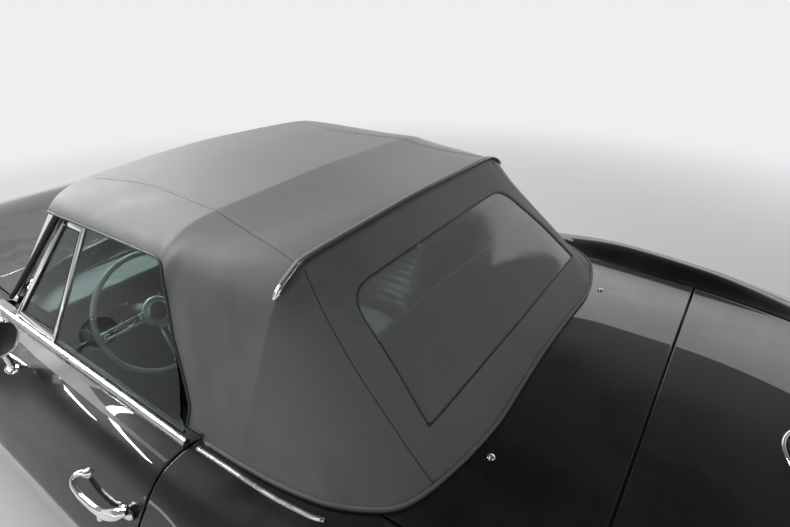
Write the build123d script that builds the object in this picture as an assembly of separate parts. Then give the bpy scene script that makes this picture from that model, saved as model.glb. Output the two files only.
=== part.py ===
from build123d import *
import math
import os

# A two-seat open sports car with its soft top up.
# Lengths are millimetres. X points to the car's left side, Y to its rear, Z up.
# The origin is on the ground, under the middle of the car.

# Driving dimensions of the whole car
LENGTH = 4450.0
HALF_LENGTH = LENGTH / 2
FRONT_AXLE_Y = -1355.0
WHEELBASE = 2489.0
REAR_AXLE_Y = FRONT_AXLE_Y + WHEELBASE
FRONT_TRACK = 1443.0
REAR_TRACK = 1463.0
TYRE_RADIUS = 338.0
SKIN = 6.0

# Where the body's panels meet
DOOR_FRONT_Y = -530.0
DOOR_REAR_Y = 469.0
DOOR_FRONT_GAP = 10.0
DOOR_GAP = 8.0
PANEL_GAP = 6.0
SEAT_OF_PANEL = 0.3
NOSE_Y = -HALF_LENGTH
TAIL_Y = HALF_LENGTH
NOSE_END_Y = NOSE_Y + 225.0
NOSE_CAP_Y = NOSE_Y + 30.0
TAIL_CORNER_Y = TAIL_Y - 175.0
TAIL_CAP_Y = TAIL_Y - 35.0
HOOD_REAR_Y = -790.0
COWL_END_Y = -545.0
LID_FRONT_Y = 640.0
LID_REAR_Y = 1272.0
DOOR_BOTTOM_Z = 290.0
WHEEL_ARCH_RADIUS = 360.0
WHEEL_ARCH_Z = 324.0



def share_of(a, b, share):
    """The value a share of the way from one to another."""
    return a + share * (b - a)


# The body's outer surface: one row for each station along the car, and half of the section in each row.
# The section's corners are the sill, the low side, the crease round the car, the shoulder, the fender's peak,
# the seam beside the hood or lid, and the middle of the hood or deck.
COLUMNS = ("y", "sill_x", "sill_z", "low_x", "low_z", "crease_x", "crease_z", "shoulder_x", "shoulder_z",
           "peak_x", "peak_z", "seam_x", "seam_z", "centre_z")
STATIONS = [
    (NOSE_Y, 232, 570, 250, 576, 260, 590, 252, 598, 205, 604, 150, 606, 608),
    (NOSE_Y + 25, 366, 560, 388, 572, 402, 598, 396, 614, 352, 634, 270, 638, 642),
    (NOSE_Y + 75, 508, 552, 530, 568, 545, 607, 538, 642, 470, 676, 360, 676, 680),
    (NOSE_Y + 165, 622, 530, 644, 560, 655, 622, 648, 684, 552, 728, 425, 712, 716),
    (NOSE_END_Y, 662, 238, 694, 495, 708, 633, 702, 718, 585, 760, 450, 730, 732),
    (share_of(FRONT_AXLE_Y, NOSE_END_Y, 0.845), 715, 215, 760, 485, 778, 648, 772, 766, 618, 806, 485, 752, 755),
    (share_of(FRONT_AXLE_Y, NOSE_END_Y, 0.535), 786, 205, 832, 470, 852, 674, 846, 826, 650, 868, 545, 778, 776),
    (FRONT_AXLE_Y, 820, 202, 862, 450, 884, 698, 878, 872, 670, 912, 590, 797, 802),
    (FRONT_AXLE_Y + 355, 820, 200, 864, 440, 886, 698, 878, 874, 678, 898, 606, 812, 826),
    (DOOR_FRONT_Y - 150, 816, 200, 864, 435, 885, 692, 874, 864, 692, 880, 618, 826, 846),
    (DOOR_FRONT_Y, 815, 200, 862, 430, 885, 690, 870, 862, 700, 876, 622, 832, 852),
    (0, 815, 200, 862, 430, 886, 688, 872, 868, 705, 880, 612, 850, 870),
    (DOOR_REAR_Y, 815, 200, 862, 430, 886, 689, 874, 874, 705, 886, 602, 868, 905),
    (DOOR_REAR_Y + 231, 815, 200, 862, 432, 886, 692, 878, 884, 700, 914, 598, 872, 912),
    (REAR_AXLE_Y - 110, 818, 202, 862, 440, 887, 701, 880, 896, 692, 954, 594, 868, 908),
    (REAR_AXLE_Y + 146, 812, 210, 856, 455, 884, 704, 876, 890, 674, 946, 588, 860, 886),
    (share_of(REAR_AXLE_Y + 146, TAIL_CORNER_Y, 0.4156), 796, 235, 842, 475, 870, 704, 860, 860, 650, 902, 562, 838, 862),
    (share_of(REAR_AXLE_Y + 146, TAIL_CORNER_Y, 0.8052), 760, 268, 802, 500, 828, 701, 816, 806, 610, 836, 522, 794, 812),
    (TAIL_CORNER_Y, 712, 300, 752, 520, 775, 697, 762, 762, 572, 780, 490, 758, 768),
    (TAIL_Y - 75, 640, 372, 688, 560, 708, 694, 694, 726, 534, 738, 450, 728, 733),
    (TAIL_Y - 25, 590, 500, 622, 600, 636, 692, 622, 706, 486, 712, 400, 712, 714),
    (TAIL_Y, 530, 676, 544, 682, 556, 689, 544, 695, 425, 700, 340, 702, 704),
]


def slope_at(ys, values, k):
    """The curve's slope at a row, flat where the values turn, so that it never overshoots."""
    last = len(ys) - 1
    if k in (0, last):
        j = min(k, last - 1)
        return (values[j + 1] - values[j]) / (ys[j + 1] - ys[j])
    before = (values[k] - values[k - 1]) / (ys[k] - ys[k - 1])
    after = (values[k + 1] - values[k]) / (ys[k + 1] - ys[k])
    return 2 * before * after / (before + after) if before * after > 0 else 0.0


def station(y):
    """The section's row at any y, on a smooth curve through the stations."""
    ys = [row[0] for row in STATIONS]
    if y <= ys[0]:
        return dict(zip(COLUMNS, STATIONS[0]))
    if y >= ys[-1]:
        return dict(zip(COLUMNS, STATIONS[-1]))
    i = max(k for k, value in enumerate(ys[:-1]) if value <= y)
    span = ys[i + 1] - ys[i]
    t = (y - ys[i]) / span
    row = {"y": y}
    for column, name in enumerate(COLUMNS[1:], start=1):
        values = [r[column] for r in STATIONS]
        starting = (2 * t**3 - 3 * t**2 + 1) * values[i] + (t**3 - 2 * t**2 + t) * span * slope_at(ys, values, i)
        ending = (3 * t**2 - 2 * t**3) * values[i + 1] + (t**3 - t**2) * span * slope_at(ys, values, i + 1)
        row[name] = starting + ending
    return row


def stations_between(y0, y1):
    """The panel's two ends and the table's stations well inside them."""
    least_span = 25.0
    return [y0, *[row[0] for row in STATIONS if y0 + least_span < row[0] < y1 - least_span], y1]


def corners(y, first, last):
    """The section's corners from one name to another, as points on the plane at y."""
    order = ("sill", "low", "crease", "shoulder", "peak", "seam", "centre")
    row = station(y)
    row["centre_x"] = 0.0
    chosen = order[order.index(first):order.index(last) + 1]
    return [Vector(row[name + "_x"], y, row[name + "_z"]) for name in chosen]


def moved_inwards(points, distance):
    """The same open chain of points, set back by a distance, as a wall's inner face."""
    normals = []
    for a, b in zip(points, points[1:]):
        along = (b - a).normalized()
        normals.append(Vector(-along.Z, 0, along.X))
    moved = []
    for i, point in enumerate(points):
        before, after = normals[max(i - 1, 0)], normals[min(i, len(normals) - 1)]
        share = 1 / (1 + before.dot(after))
        moved.append(point + (before + after) * (share * distance))
    return moved


# Corners that stay sharp, counted along a side's section and along a section from sill to sill
SIDE_PLAIN = (1, 2)
WHOLE_PLAIN = (1, 2, 6, 7, 8, 12, 13)
CROWN_PLAIN = (1, 2, 3)


def rounded_chain(points, roundness=0.85, plain=(), chords=False):
    """Straight runs joined by tangent arcs that use a share of each run, or by two chords of each arc.

    Corners listed as plain stay as they are."""
    edges = []
    start = points[0]
    for i, (a, b, c) in enumerate(zip(points, points[1:], points[2:]), start=1):
        if i in plain:
            edges.append(Line(start, b).edge())
            start = b
            continue
        to_a, to_c = (a - b).normalized(), (c - b).normalized()
        leg = min((a - b).length, (c - b).length) * roundness / 2
        turn = math.radians(180 - to_a.get_angle(to_c))
        first, last = b + to_a * leg, b + to_c * leg
        middle = b + (to_a + to_c).normalized() * (leg * math.tan(turn / 4))
        edges.append(Line(start, first).edge())
        if chords:
            edges += [Line(first, middle).edge(), Line(middle, last).edge()]
        else:
            edges.append(ThreePointArc(first, middle, last).edge())
        start = last
    edges.append(Line(start, points[-1]).edge())
    return edges


def closed_face(outer_edges, outer, inner_edges, inner):
    """A face between two chains of edges and the straight ends from chain to chain."""
    return Face(Wire([*outer_edges, Line(outer[-1], inner[-1]).edge(), *inner_edges, Line(inner[0], outer[0]).edge()]))


def wall_section(outer, thickness, plain=(), roundness=0.85, outer_chords=False, inner_chords=True):
    """A wall's section: its outer chain, as a rule rounded, and its inner chain, as a rule of chords."""
    inner = moved_inwards(outer, thickness)
    return closed_face(rounded_chain(outer, roundness, plain, outer_chords), outer,
                       rounded_chain(inner, roundness, plain, inner_chords), inner)


def both_sides(shape):
    """The piece and its mirror image across the car's middle plane."""
    return Compound(children=[*shape.solids(), *mirror(shape, about=Plane.YZ).solids()])


def save(name, shape):
    os.makedirs("parts", exist_ok=True)
    solids = shape.solids()
    whole = solids[0] if len(solids) == 1 else Compound(children=solids)
    export_step(whole, f"parts/{name}.step")


def wheel_arch(axle_y):
    """The round hole that a wheel stands in, through both sides of the body."""
    return Pos(0, axle_y, WHEEL_ARCH_Z) * Rot(0, 90, 0) * Cylinder(WHEEL_ARCH_RADIUS, 2400)


def box_between(low, high):
    """A box from its lowest corner to its highest."""
    size = [b - a for a, b in zip(low, high)]
    middle = [(a + b) / 2 for a, b in zip(low, high)]
    return Pos(*middle) * Box(*size)


def across(y, first, gap=0.0, rise=0.0):
    """The section from a corner on the left, over the middle, to the same corner on the right."""
    row = station(y)
    left = corners(y, first, "seam")
    left[-1] = left[-1] - Vector(gap if first == "seam" else 0.0, 0, 0)
    crown_share = 0.72
    crown_z = row["seam_z"] + crown_share * (row["centre_z"] - row["seam_z"])
    left.append(Vector(row["seam_x"] / 2, y, crown_z))
    middle = Vector(0, y, row["centre_z"])
    right = [Vector(-p.X, p.Y, p.Z) for p in reversed(left)]
    return [p + Vector(0, 0, rise) for p in [*left, middle, *right]]


def filled_section(outer, roundness=0.85, plain=(), chords=False):
    """A section closed by a straight line from its last point to its first."""
    return Face(Wire([*rounded_chain(outer, roundness, plain, chords), Line(outer[-1], outer[0]).edge()]))


def polygon(points):
    return Face(Wire.make_polygon([Vector(*p) for p in points], close=True))


def between(faces):
    """A loft with straight rulings through a row of sections."""
    return loft(faces, ruled=True)


def prism_across(outline, half_width):
    """A solid of constant outline in side view: outline points are (y, z)."""
    face = polygon([(-half_width, y, z) for y, z in outline])
    return Solid.extrude(face, Vector(2 * half_width, 0, 0))


def upright(outline, low_z, high_z):
    """A solid of constant outline in plan: outline points are (x, y)."""
    face = polygon([(x, y, low_z) for x, y in outline])
    return Solid.extrude(face, Vector(0, 0, high_z - low_z))


def plan_wall(route, thickness, low_z, high_z):
    """A wall that follows a route in plan, with its thickness on the right of the route's direction."""
    outer = [Vector(x, y, low_z) for x, y in route]
    normals = []
    for a, b in zip(outer, outer[1:]):
        along = (b - a).normalized()
        normals.append(Vector(along.Y, -along.X, 0))
    inner = []
    for i, point in enumerate(outer):
        before, after = normals[max(i - 1, 0)], normals[min(i, len(normals) - 1)]
        inner.append(point + (before + after) * (thickness / (1 + before.dot(after))))
    face = closed_face(rounded_chain(outer), outer, rounded_chain(inner, chords=True), inner)
    return Solid.extrude(face, Vector(0, 0, high_z - low_z))


def turned(profile, centre, outwards=1):
    """A solid of revolution about a wheel's axle: profile points are (distance outwards, radius)."""
    face = polygon([(outwards * x, r, 0) for x, r in profile])
    return Pos(*centre) * revolve(face, Axis.X)


def front_fenders():
    ys = stations_between(NOSE_END_Y + SEAT_OF_PANEL, DOOR_FRONT_Y - DOOR_FRONT_GAP)
    left = between([wall_section(corners(y, "sill", "seam"), SKIN, SIDE_PLAIN) for y in ys])
    return both_sides(left - wheel_arch(FRONT_AXLE_Y))


def nose_shell():
    """The nose ahead of the hood: a shell with a solid lip all round its front edge."""
    ys = stations_between(NOSE_CAP_Y, NOSE_END_Y)
    shell = between([wall_section(across(y, "sill"), SKIN, WHOLE_PLAIN) for y in ys])
    lip = between([filled_section(across(y, "sill"), plain=WHOLE_PLAIN) for y in (NOSE_Y, NOSE_CAP_Y)])
    return shell + lip


HEADLAMP_COVER = ((395, 618), (NOSE_Y + 63, NOSE_Y + 167))
HEADLAMP_COVER_GAP = 3.0


def headlamp_opening(gap):
    """The upright hole in the nose for one hidden headlamp's cover."""
    (x0, x1), (y0, y1) = HEADLAMP_COVER
    return both_sides(box_between((x0 - gap, y0 - gap, 640), (x1 + gap, y1 + gap, 900)))


def nose_panel():
    return nose_shell() - headlamp_opening(HEADLAMP_COVER_GAP)


def headlamp_covers():
    return nose_shell() & headlamp_opening(0.0)


# The valance's top and foot: height, place along the car at the middle and at the ends, and half width
VALANCE = [(438.0, NOSE_Y + 77, NOSE_Y + 185, 626), (232.0, NOSE_Y + 163, NOSE_END_Y, 650)]
VALANCE_TOP_Z = VALANCE[0][0]


def valance_solid(depth):
    """The leaning front face and what lies behind it, to a depth."""
    faces = []
    for z, middle_y, end_y, end_x in VALANCE:
        knee_x, knee_y = 0.75 * end_x, share_of(end_y, middle_y, 0.62)
        route = [(end_x, end_y), (knee_x, knee_y), (0, middle_y), (-knee_x, knee_y), (-end_x, end_y)]
        outer = [Vector(x, y, z) for x, y in route]
        inner = [p + Vector(0, depth, 0) for p in outer]
        faces.append(closed_face(rounded_chain(outer), outer, rounded_chain(inner), inner))
    return between(faces)


def front_valance():
    """The panel below the grille, leaning back towards its lower edge, with a tab to each of the frame's posts."""
    reach = TIE_BAR_Y - SEAT_OF_PANEL
    tab = box_between((POST_X[0] + 2, reach - 200, 262), (POST_X[1] - 2, reach, 288)) & valance_solid(400)
    return valance_solid(SKIN) + both_sides(tab)


GRILLE_BARS = 7
GRILLE_HALF_WIDTH = 455.0
GRILLE_Y = NOSE_Y + 105
GRILLE_TOP_Z = 548.0


def grille():
    """Level bars on three uprights in the nose's mouth."""
    low, high = VALANCE_TOP_Z + SEAT_OF_PANEL, GRILLE_TOP_Z
    step = (high - low) / (GRILLE_BARS + 1)
    shape = box_between((-8, GRILLE_Y, low), (8, GRILLE_Y + 12, high))
    for side in (-1, 1):
        x = side * (GRILLE_HALF_WIDTH - 8)
        shape += box_between((x - 8, GRILLE_Y, low), (x + 8, GRILLE_Y + 12, high))
    for i in range(GRILLE_BARS):
        z = low + (i + 1) * step
        shape += box_between((-GRILLE_HALF_WIDTH, GRILLE_Y - 6, z - 4), (GRILLE_HALF_WIDTH, GRILLE_Y + 6, z + 4))
    return shape


FRONT_LAMP_Y = NOSE_Y + 139


def front_lamps():
    """The parking lamps at the ends of the mouth, each on a foot that stands on the valance's edge."""
    lamp = Pos(540, FRONT_LAMP_Y, 500) * Rot(90, 0, 0) * Cylinder(34, 40)
    foot = box_between((530, FRONT_LAMP_Y, VALANCE_TOP_Z + SEAT_OF_PANEL), (550, FRONT_LAMP_Y + 20, 490))
    return both_sides(lamp + foot)


FRONT_BUMPER_ROUTE = [(118, NOSE_Y + 3), (420, NOSE_Y + 29), (625, NOSE_Y + 113), (738, NOSE_Y + 239)]
BUMPER_LOW_Z = 462.0
BUMPER_HIGH_Z = 536.0
BUMPER_STEEL = 14.0


def front_bumpers():
    """Two short blades that wrap round the nose's corners, each on one bracket."""
    blade = plan_wall(FRONT_BUMPER_ROUTE[::-1], BUMPER_STEEL, BUMPER_LOW_Z, BUMPER_HIGH_Z)
    bracket = box_between((466, NOSE_Y + 59, 470), (490, TIE_BAR_Y - SEAT_OF_PANEL, 500))
    return both_sides(blade + bracket)


def hood():
    """The hood's panel with its two hinge eyes near the front edge."""
    ys = stations_between(NOSE_END_Y + PANEL_GAP, HOOD_REAR_Y)
    panel = between([wall_section(across(y, "seam", PANEL_GAP), SKIN, CROWN_PLAIN) for y in ys])
    x0, x1 = HOOD_EYE_X
    place = Pos((x0 + x1) / 2, HOOD_HINGE_Y, HOOD_HINGE_Z) * Rot(0, 90, 0)
    neck = box_between((x0, HOOD_HINGE_Y - 2, HOOD_HINGE_Z), (x1, HOOD_HINGE_Y + 10, HOOD_HINGE_Z + 11))
    eye = place * Cylinder(7.0, x1 - x0) + neck - place * Cylinder(HOOD_PIN_RADIUS + HINGE_CLEARANCE, 60)
    return panel + both_sides(eye)


def cowl_panel():
    """The panel between the hood and the windshield, down to the dashboard."""
    ys = [HOOD_REAR_Y + PANEL_GAP, -680, COWL_END_Y]
    return between([wall_section(across(y, "seam", 1.0), SKIN, CROWN_PLAIN) for y in ys])


WINDSHIELD_LOW = [(646, -464), (480, -612), (200, -672), (0, -684)]
WINDSHIELD_HIGH = [(541, -192), (400, -238), (180, -268), (0, -274)]
WINDSHIELD_LOW_Z = 872.0
WINDSHIELD_HIGH_Z = 1212.0
GLASS = 5.0


def plan_band(half_route, z, forward, thickness):
    """A level band that follows half a route and its mirror image, moved forward by a distance."""
    route = [*half_route, *[(-x, y) for x, y in half_route[-2::-1]]]
    outer = [Vector(x, y - forward, z) for x, y in route]
    inner = [p + Vector(0, thickness, 0) for p in outer]
    return closed_face(rounded_chain(outer), outer, rounded_chain(inner), inner)


def windshield_route(share):
    """The windshield's line in plan, a share of the way up from its foot to its head."""
    return [(a[0] + share * (b[0] - a[0]), a[1] + share * (b[1] - a[1]))
            for a, b in zip(WINDSHIELD_LOW, WINDSHIELD_HIGH)]


def windshield_band(low_share, high_share, forward, thickness):
    """A part of the windshield's leaning surface, between two shares of its height."""
    height = WINDSHIELD_HIGH_Z - WINDSHIELD_LOW_Z
    return between([plan_band(windshield_route(s), WINDSHIELD_LOW_Z + s * height, forward, thickness)
                    for s in (low_share, high_share)])


FRAME_THICKNESS = 26.0
PILLAR_WIDTH = 34.0
HEADER_SHARE = 0.93
FOOT_SHARE = 0.05
COWL_SHARE = 0.11


def windshield_frame():
    """The bright frame round the glass: foot, two raked pillars and header in one casting."""
    whole = windshield_band(-COWL_SHARE, 1.0, 12, FRAME_THICKNESS)
    rise = SEAT_OF_PANEL
    ys = (HOOD_REAR_Y + PANEL_GAP, DOOR_FRONT_Y - 150, DOOR_FRONT_Y)
    whole -= between([filled_section(across(y, "seam", rise=rise), plain=CROWN_PLAIN) for y in ys])
    whole -= box_between((-700, COWL_END_Y - 1, 700), (700, 0, WINDSHIELD_LOW_Z))
    height = WINDSHIELD_HIGH_Z - WINDSHIELD_LOW_Z
    faces = []
    for share in (FOOT_SHARE, HEADER_SHARE):
        route = windshield_route(share)
        scale = (route[0][0] - PILLAR_WIDTH) / route[0][0]
        narrow = [(x * scale, y) for x, y in route]
        faces.append(plan_band(narrow, WINDSHIELD_LOW_Z + share * height, 90, 180))
    return whole - between(faces)


def windshield_glass():
    """The curved pane, inside the frame with its seat's clearance all round."""
    height = WINDSHIELD_HIGH_Z - WINDSHIELD_LOW_Z
    margin = SEAT_OF_PANEL / height
    faces = []
    for share in (FOOT_SHARE + margin, HEADER_SHARE - margin):
        route = windshield_route(share)
        scale = (route[0][0] - PILLAR_WIDTH - 1.0) / route[0][0]
        narrow = [(x * scale, y) for x, y in route]
        faces.append(plan_band(narrow, WINDSHIELD_LOW_Z + share * height, 0, GLASS))
    return between(faces)


DASH_HALF_WIDTH = 600.0
DASH_REAR_Y = -345.0


def dashboard_prism(half_width, set_back=0.0):
    """The instrument panel's outline across the cabin, moved back by a clearance."""
    front_y = COWL_END_Y + SEAT_OF_PANEL
    outline = [(front_y, 640), (-420, 600), (-385, 660), (-372, 770), (DASH_REAR_Y, 812), (-352, 842), (front_y, 838)]
    return prism_across([(y + set_back, z) for y, z in outline], half_width)


def dashboard():
    """The instrument panel across the cabin, with a padded brow over its face."""
    return dashboard_prism(DASH_HALF_WIDTH)


def rear_quarters():
    """The rear fenders, from the doors to the tail's corners."""
    ys = stations_between(DOOR_REAR_Y + DOOR_GAP, TAIL_CAP_Y - SEAT_OF_PANEL)
    left = between([wall_section(corners(y, "sill", "seam"), SKIN, SIDE_PLAIN) for y in ys])
    return both_sides(left - wheel_arch(REAR_AXLE_Y))


FILLER_Y = REAR_AXLE_Y + 488.0
FILLER_RADIUS = 98.0
FILLER_GAP = 5.5


def deck_shell(y0, y1, gap):
    """The deck's wall from one place along the car to another."""
    ys = stations_between(y0, y1)
    return between([wall_section(across(y, "seam", gap), SKIN, CROWN_PLAIN) for y in ys])


def filler_hole(radius):
    return Pos(0, FILLER_Y, 860) * Cylinder(radius, 200)


HINGE_PIN_RADIUS = 3.0
HINGE_CLEARANCE = 0.3
FILLER_HINGE_Y = FILLER_Y - FILLER_RADIUS - 4.5
FILLER_HINGE_RISE = 6.0
FILLER_EYE_HALF = 9.0
FILLER_CHEEK = 7.0


def filler_hinge_z():
    return station(FILLER_HINGE_Y)["centre_z"] + FILLER_HINGE_RISE


def rear_deck():
    """The deck behind the lid, with the filler's hole and its door's hinge pin between two cheeks."""
    shell = deck_shell(LID_REAR_Y + PANEL_GAP, TAIL_CAP_Y - SEAT_OF_PANEL, SEAT_OF_PANEL)
    shell -= filler_hole(FILLER_RADIUS + FILLER_GAP)
    y, z = FILLER_HINGE_Y, filler_hinge_z()
    x0 = FILLER_EYE_HALF + 2
    cheek = box_between((x0, y - 16, z - 10), (x0 + FILLER_CHEEK, y + 4, z + 4))
    pin = Pos(0, y, z) * Rot(0, 90, 0) * Cylinder(HINGE_PIN_RADIUS, 2 * (x0 + FILLER_CHEEK))
    return shell + both_sides(cheek) + pin


def deck_lid():
    """The lid over the folding top's well, which the raised top's rear bow rests on."""
    return deck_shell(LID_FRONT_Y, LID_REAR_Y, PANEL_GAP)


def filler_door():
    """The round lid over the fuel filler, with one hinge eye over its front edge."""
    disc = deck_shell(FILLER_Y - 140, FILLER_Y + 140, 0.0) & filler_hole(FILLER_RADIUS)
    y, z = FILLER_HINGE_Y, filler_hinge_z()
    eye = Pos(0, y, z) * Rot(0, 90, 0) * Cylinder(5.5, 2 * FILLER_EYE_HALF)
    neck = box_between((-FILLER_EYE_HALF, y + 5, z - 9), (FILLER_EYE_HALF, y + 18, z + 1))
    bore = Pos(0, y, z) * Rot(0, 90, 0) * Cylinder(HINGE_PIN_RADIUS + HINGE_CLEARANCE, 60)
    return disc + (eye + neck - bore)


def filler_neck():
    """The filler's cup under its door, with the cap in it."""
    rim_z = station(FILLER_Y + FILLER_RADIUS)["centre_z"] - SKIN - 6
    cup = Pos(0, FILLER_Y, rim_z - 45) * (Cylinder(90, 90) - Pos(0, 0, 8) * Cylinder(84, 90))
    cap = Pos(0, FILLER_Y, rim_z - 60) * Cylinder(38, 50)
    ear = box_between((86, FILLER_Y - 12, rim_z - 20), (150, FILLER_Y + 12, rim_z + 60))
    drop = SKIN + SEAT_OF_PANEL
    ys = stations_between(LID_REAR_Y + PANEL_GAP, TAIL_CAP_Y - SEAT_OF_PANEL)
    under_deck = between([filled_section(across(y, "seam", rise=-drop), plain=CROWN_PLAIN) for y in ys])
    return cup + cap + both_sides(ear & under_deck)


TAIL_FOOT_LEVELS = [(372, 640, TAIL_Y - 85), (306, 698, TAIL_Y - 170)]
LAMP_RADIUS = 57.0
LAMP_PLACES = [(262, 598), (432, 598)]
LAMP_DEPTH = 60.0
LAMP_STAND = 14.0
LAMP_SEAT = 0.5


def tail_levels():
    """The tail's leaning face, top to foot: height, half width and place along the car."""
    top, foot = station(TAIL_Y), station(TAIL_CAP_Y)
    return [(top["sill_z"], top["sill_x"], TAIL_Y), (foot["sill_z"], foot["sill_x"], TAIL_CAP_Y), *TAIL_FOOT_LEVELS]


def tail_panel_y(z):
    """The tail's outer face at a height."""
    levels = tail_levels()
    return in_table([(level[0], level[2]) for level in levels[::-1]], z)


PLATE_HOLE_RADIUS = 3.5
PLATE_SPACING_X = 178.0
PLATE_SPACING_Z = 120.6
PLATE_CENTRE_Z = 395.0
PLATE_FACE_Y = TAIL_Y - 29


def plate_bracket():
    """The upright flat plate, on two standoffs, that a number plate bolts to."""
    plate = box_between((-155, PLATE_FACE_Y - 4, PLATE_CENTRE_Z - 76), (155, PLATE_FACE_Y, PLATE_CENTRE_Z + 76))
    for x in (-PLATE_SPACING_X / 2, PLATE_SPACING_X / 2):
        for z in (PLATE_CENTRE_Z - PLATE_SPACING_Z / 2, PLATE_CENTRE_Z + PLATE_SPACING_Z / 2):
            plate -= Pos(x, PLATE_FACE_Y, z) * Rot(90, 0, 0) * Cylinder(PLATE_HOLE_RADIUS, 40)
    foot_z = PLATE_CENTRE_Z
    standoff = box_between((30, tail_panel_y(foot_z) - 4, foot_z), (50, PLATE_FACE_Y - 4, foot_z + 24))
    return plate + both_sides(standoff)


def tail_panel():
    """The tail's solid lip with the lamps' holes and, under it, the panel that leans forward to its foot."""
    lip = between([filled_section(across(y, "sill"), plain=WHOLE_PLAIN) for y in (TAIL_CAP_Y, TAIL_Y)])
    faces = []
    for z, half_x, y in tail_levels()[1:]:
        x = half_x - SKIN - 2
        faces.append(polygon([(x, y - SKIN, z), (x, y, z), (-x, y, z), (-x, y - SKIN, z)]))
    shape = lip + between(faces)
    return shape + plate_bracket()


def tail_lamps():
    """Four round lamps that stand on the tail's leaning face."""
    (top_z, _, top_y), (foot_z, _, foot_y) = tail_levels()[:2]
    lean = (top_y - foot_y) / (top_z - foot_z)
    reach = 200.0
    y0, y1 = foot_y - lean * reach, top_y + lean * reach
    body = prism_across([(y0 + LAMP_SEAT, foot_z - reach), (y1 + LAMP_SEAT, top_z + reach), (y0 - 300, top_z + reach),
                         (y0 - 300, foot_z - reach)], 700)
    shapes = []
    for x, z in LAMP_PLACES:
        face_y = tail_panel_y(z + LAMP_RADIUS) + LAMP_STAND
        whole = Pos(x, face_y - LAMP_DEPTH / 2, z) * Rot(90, 0, 0) * Cylinder(LAMP_RADIUS, LAMP_DEPTH)
        shapes.append(both_sides(whole - body))
    return Compound(children=[solid for shape in shapes for solid in shape.solids()])


REAR_BUMPER_ROUTE = [(190, TAIL_Y - 3), (590, TAIL_Y - 4), (706, TAIL_Y - 59), (783, TAIL_Y - 195)]
REAR_BUMPER_LOW_Z = 400.0
REAR_BUMPER_HIGH_Z = 468.0


def rear_bumpers():
    """Two short blades round the tail's corners, each on one bracket."""
    blade = plan_wall(REAR_BUMPER_ROUTE, BUMPER_STEEL, REAR_BUMPER_LOW_Z, REAR_BUMPER_HIGH_Z)
    bracket_top_z = 440
    seat_y = tail_panel_y(bracket_top_z) + SEAT_OF_PANEL
    bracket = box_between((300, seat_y, 410), (340, TAIL_Y - 13, bracket_top_z))
    return both_sides(blade + bracket)


def rockers():
    """The sills below the doors, from wheel arch to wheel arch."""
    row = station(0)
    z1 = DOOR_BOTTOM_Z - PANEL_GAP
    x1 = row["sill_x"] + (row["low_x"] - row["sill_x"]) * (z1 - row["sill_z"]) / (row["low_z"] - row["sill_z"])
    x0, z0 = row["sill_x"], row["sill_z"]
    y0 = DOOR_FRONT_Y - DOOR_FRONT_GAP + SEAT_OF_PANEL
    y1 = DOOR_REAR_Y + DOOR_GAP - SEAT_OF_PANEL
    inner_x = TUB_HALF_WIDTH + SEAT_OF_PANEL
    face = polygon([(inner_x, y0, z0), (x0, y0, z0), (x1, y0, z1), (inner_x, y0, z1)])
    return both_sides(Solid.extrude(face, Vector(0, y1 - y0, 0)))


FLOOR_Z = 222.0
TUB_HALF_WIDTH = 699.7
TUNNEL_HALF_WIDTH = 125.0
FIREWALL_Y = -770.0
BULKHEAD_Y = 560.0
PANEL = 10.0
TUNNEL_TOP = [(FIREWALL_Y, 440.0), (BULKHEAD_Y, 400.0)]


def floor_tub():
    """The cabin's floor with its tunnel, toe board, rear bulkhead and door pillars."""
    floor = box_between((-TUB_HALF_WIDTH, FIREWALL_Y, FLOOR_Z), (TUB_HALF_WIDTH, BULKHEAD_Y + PANEL, FLOOR_Z + PANEL))
    tunnel = prism_across([(FIREWALL_Y, FLOOR_Z), (BULKHEAD_Y, FLOOR_Z), *TUNNEL_TOP[::-1]], TUNNEL_HALF_WIDTH)
    firewall = box_between((-590, FIREWALL_Y - PANEL, FLOOR_Z), (590, FIREWALL_Y, 815))
    bulkhead = box_between((-590, BULKHEAD_Y, FLOOR_Z), (590, BULKHEAD_Y + PANEL, 700))
    shelf = box_between((-590, BULKHEAD_Y, 700), (590, 1040, 700 + PANEL))
    pillar = box_between((TUB_HALF_WIDTH - 59.7, -570, FLOOR_Z), (800, -542, 800))
    shape = floor + tunnel + firewall + bulkhead + shelf + both_sides(pillar)
    return shape + door_hinges()


DOOR_HINGE_X = 850.0
DOOR_HINGE_Y = -460.0
DOOR_HINGE_LEVELS = (600.0, 760.0)
DOOR_PIN_RADIUS = 5.0
DOOR_EYE_RADIUS = 10.0
DOOR_EYE_HALF_WIDTH = 8.5
DOOR_EYE_HEIGHT = 24.0


def door_hinges():
    """A cranked strap from the pillar to each hinge pin, which the opened door's skin swings round."""
    shapes = []
    for z in DOOR_HINGE_LEVELS:
        low, high = z - DOOR_EYE_HEIGHT / 2, z + DOOR_EYE_HEIGHT / 2
        half, reach = DOOR_EYE_HALF_WIDTH, DOOR_EYE_RADIUS
        x, y = DOOR_HINGE_X, DOOR_HINGE_Y
        strap = upright([(x - 92, -543), (x - 66, -543), (x - 66, y - half), (x + half, y - half), (x + half, y + half),
                         (x + half / 2, y + reach), (x - 80, y + reach), (x - 92, y - half)], low, high)
        bore = Pos(x, y, z) * Cylinder(DOOR_PIN_RADIUS + HINGE_CLEARANCE, 60)
        shapes.extend(both_sides(strap - bore).solids())
    return Compound(children=shapes)


DOOR_INNER_BELT_X = 655.0


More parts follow.
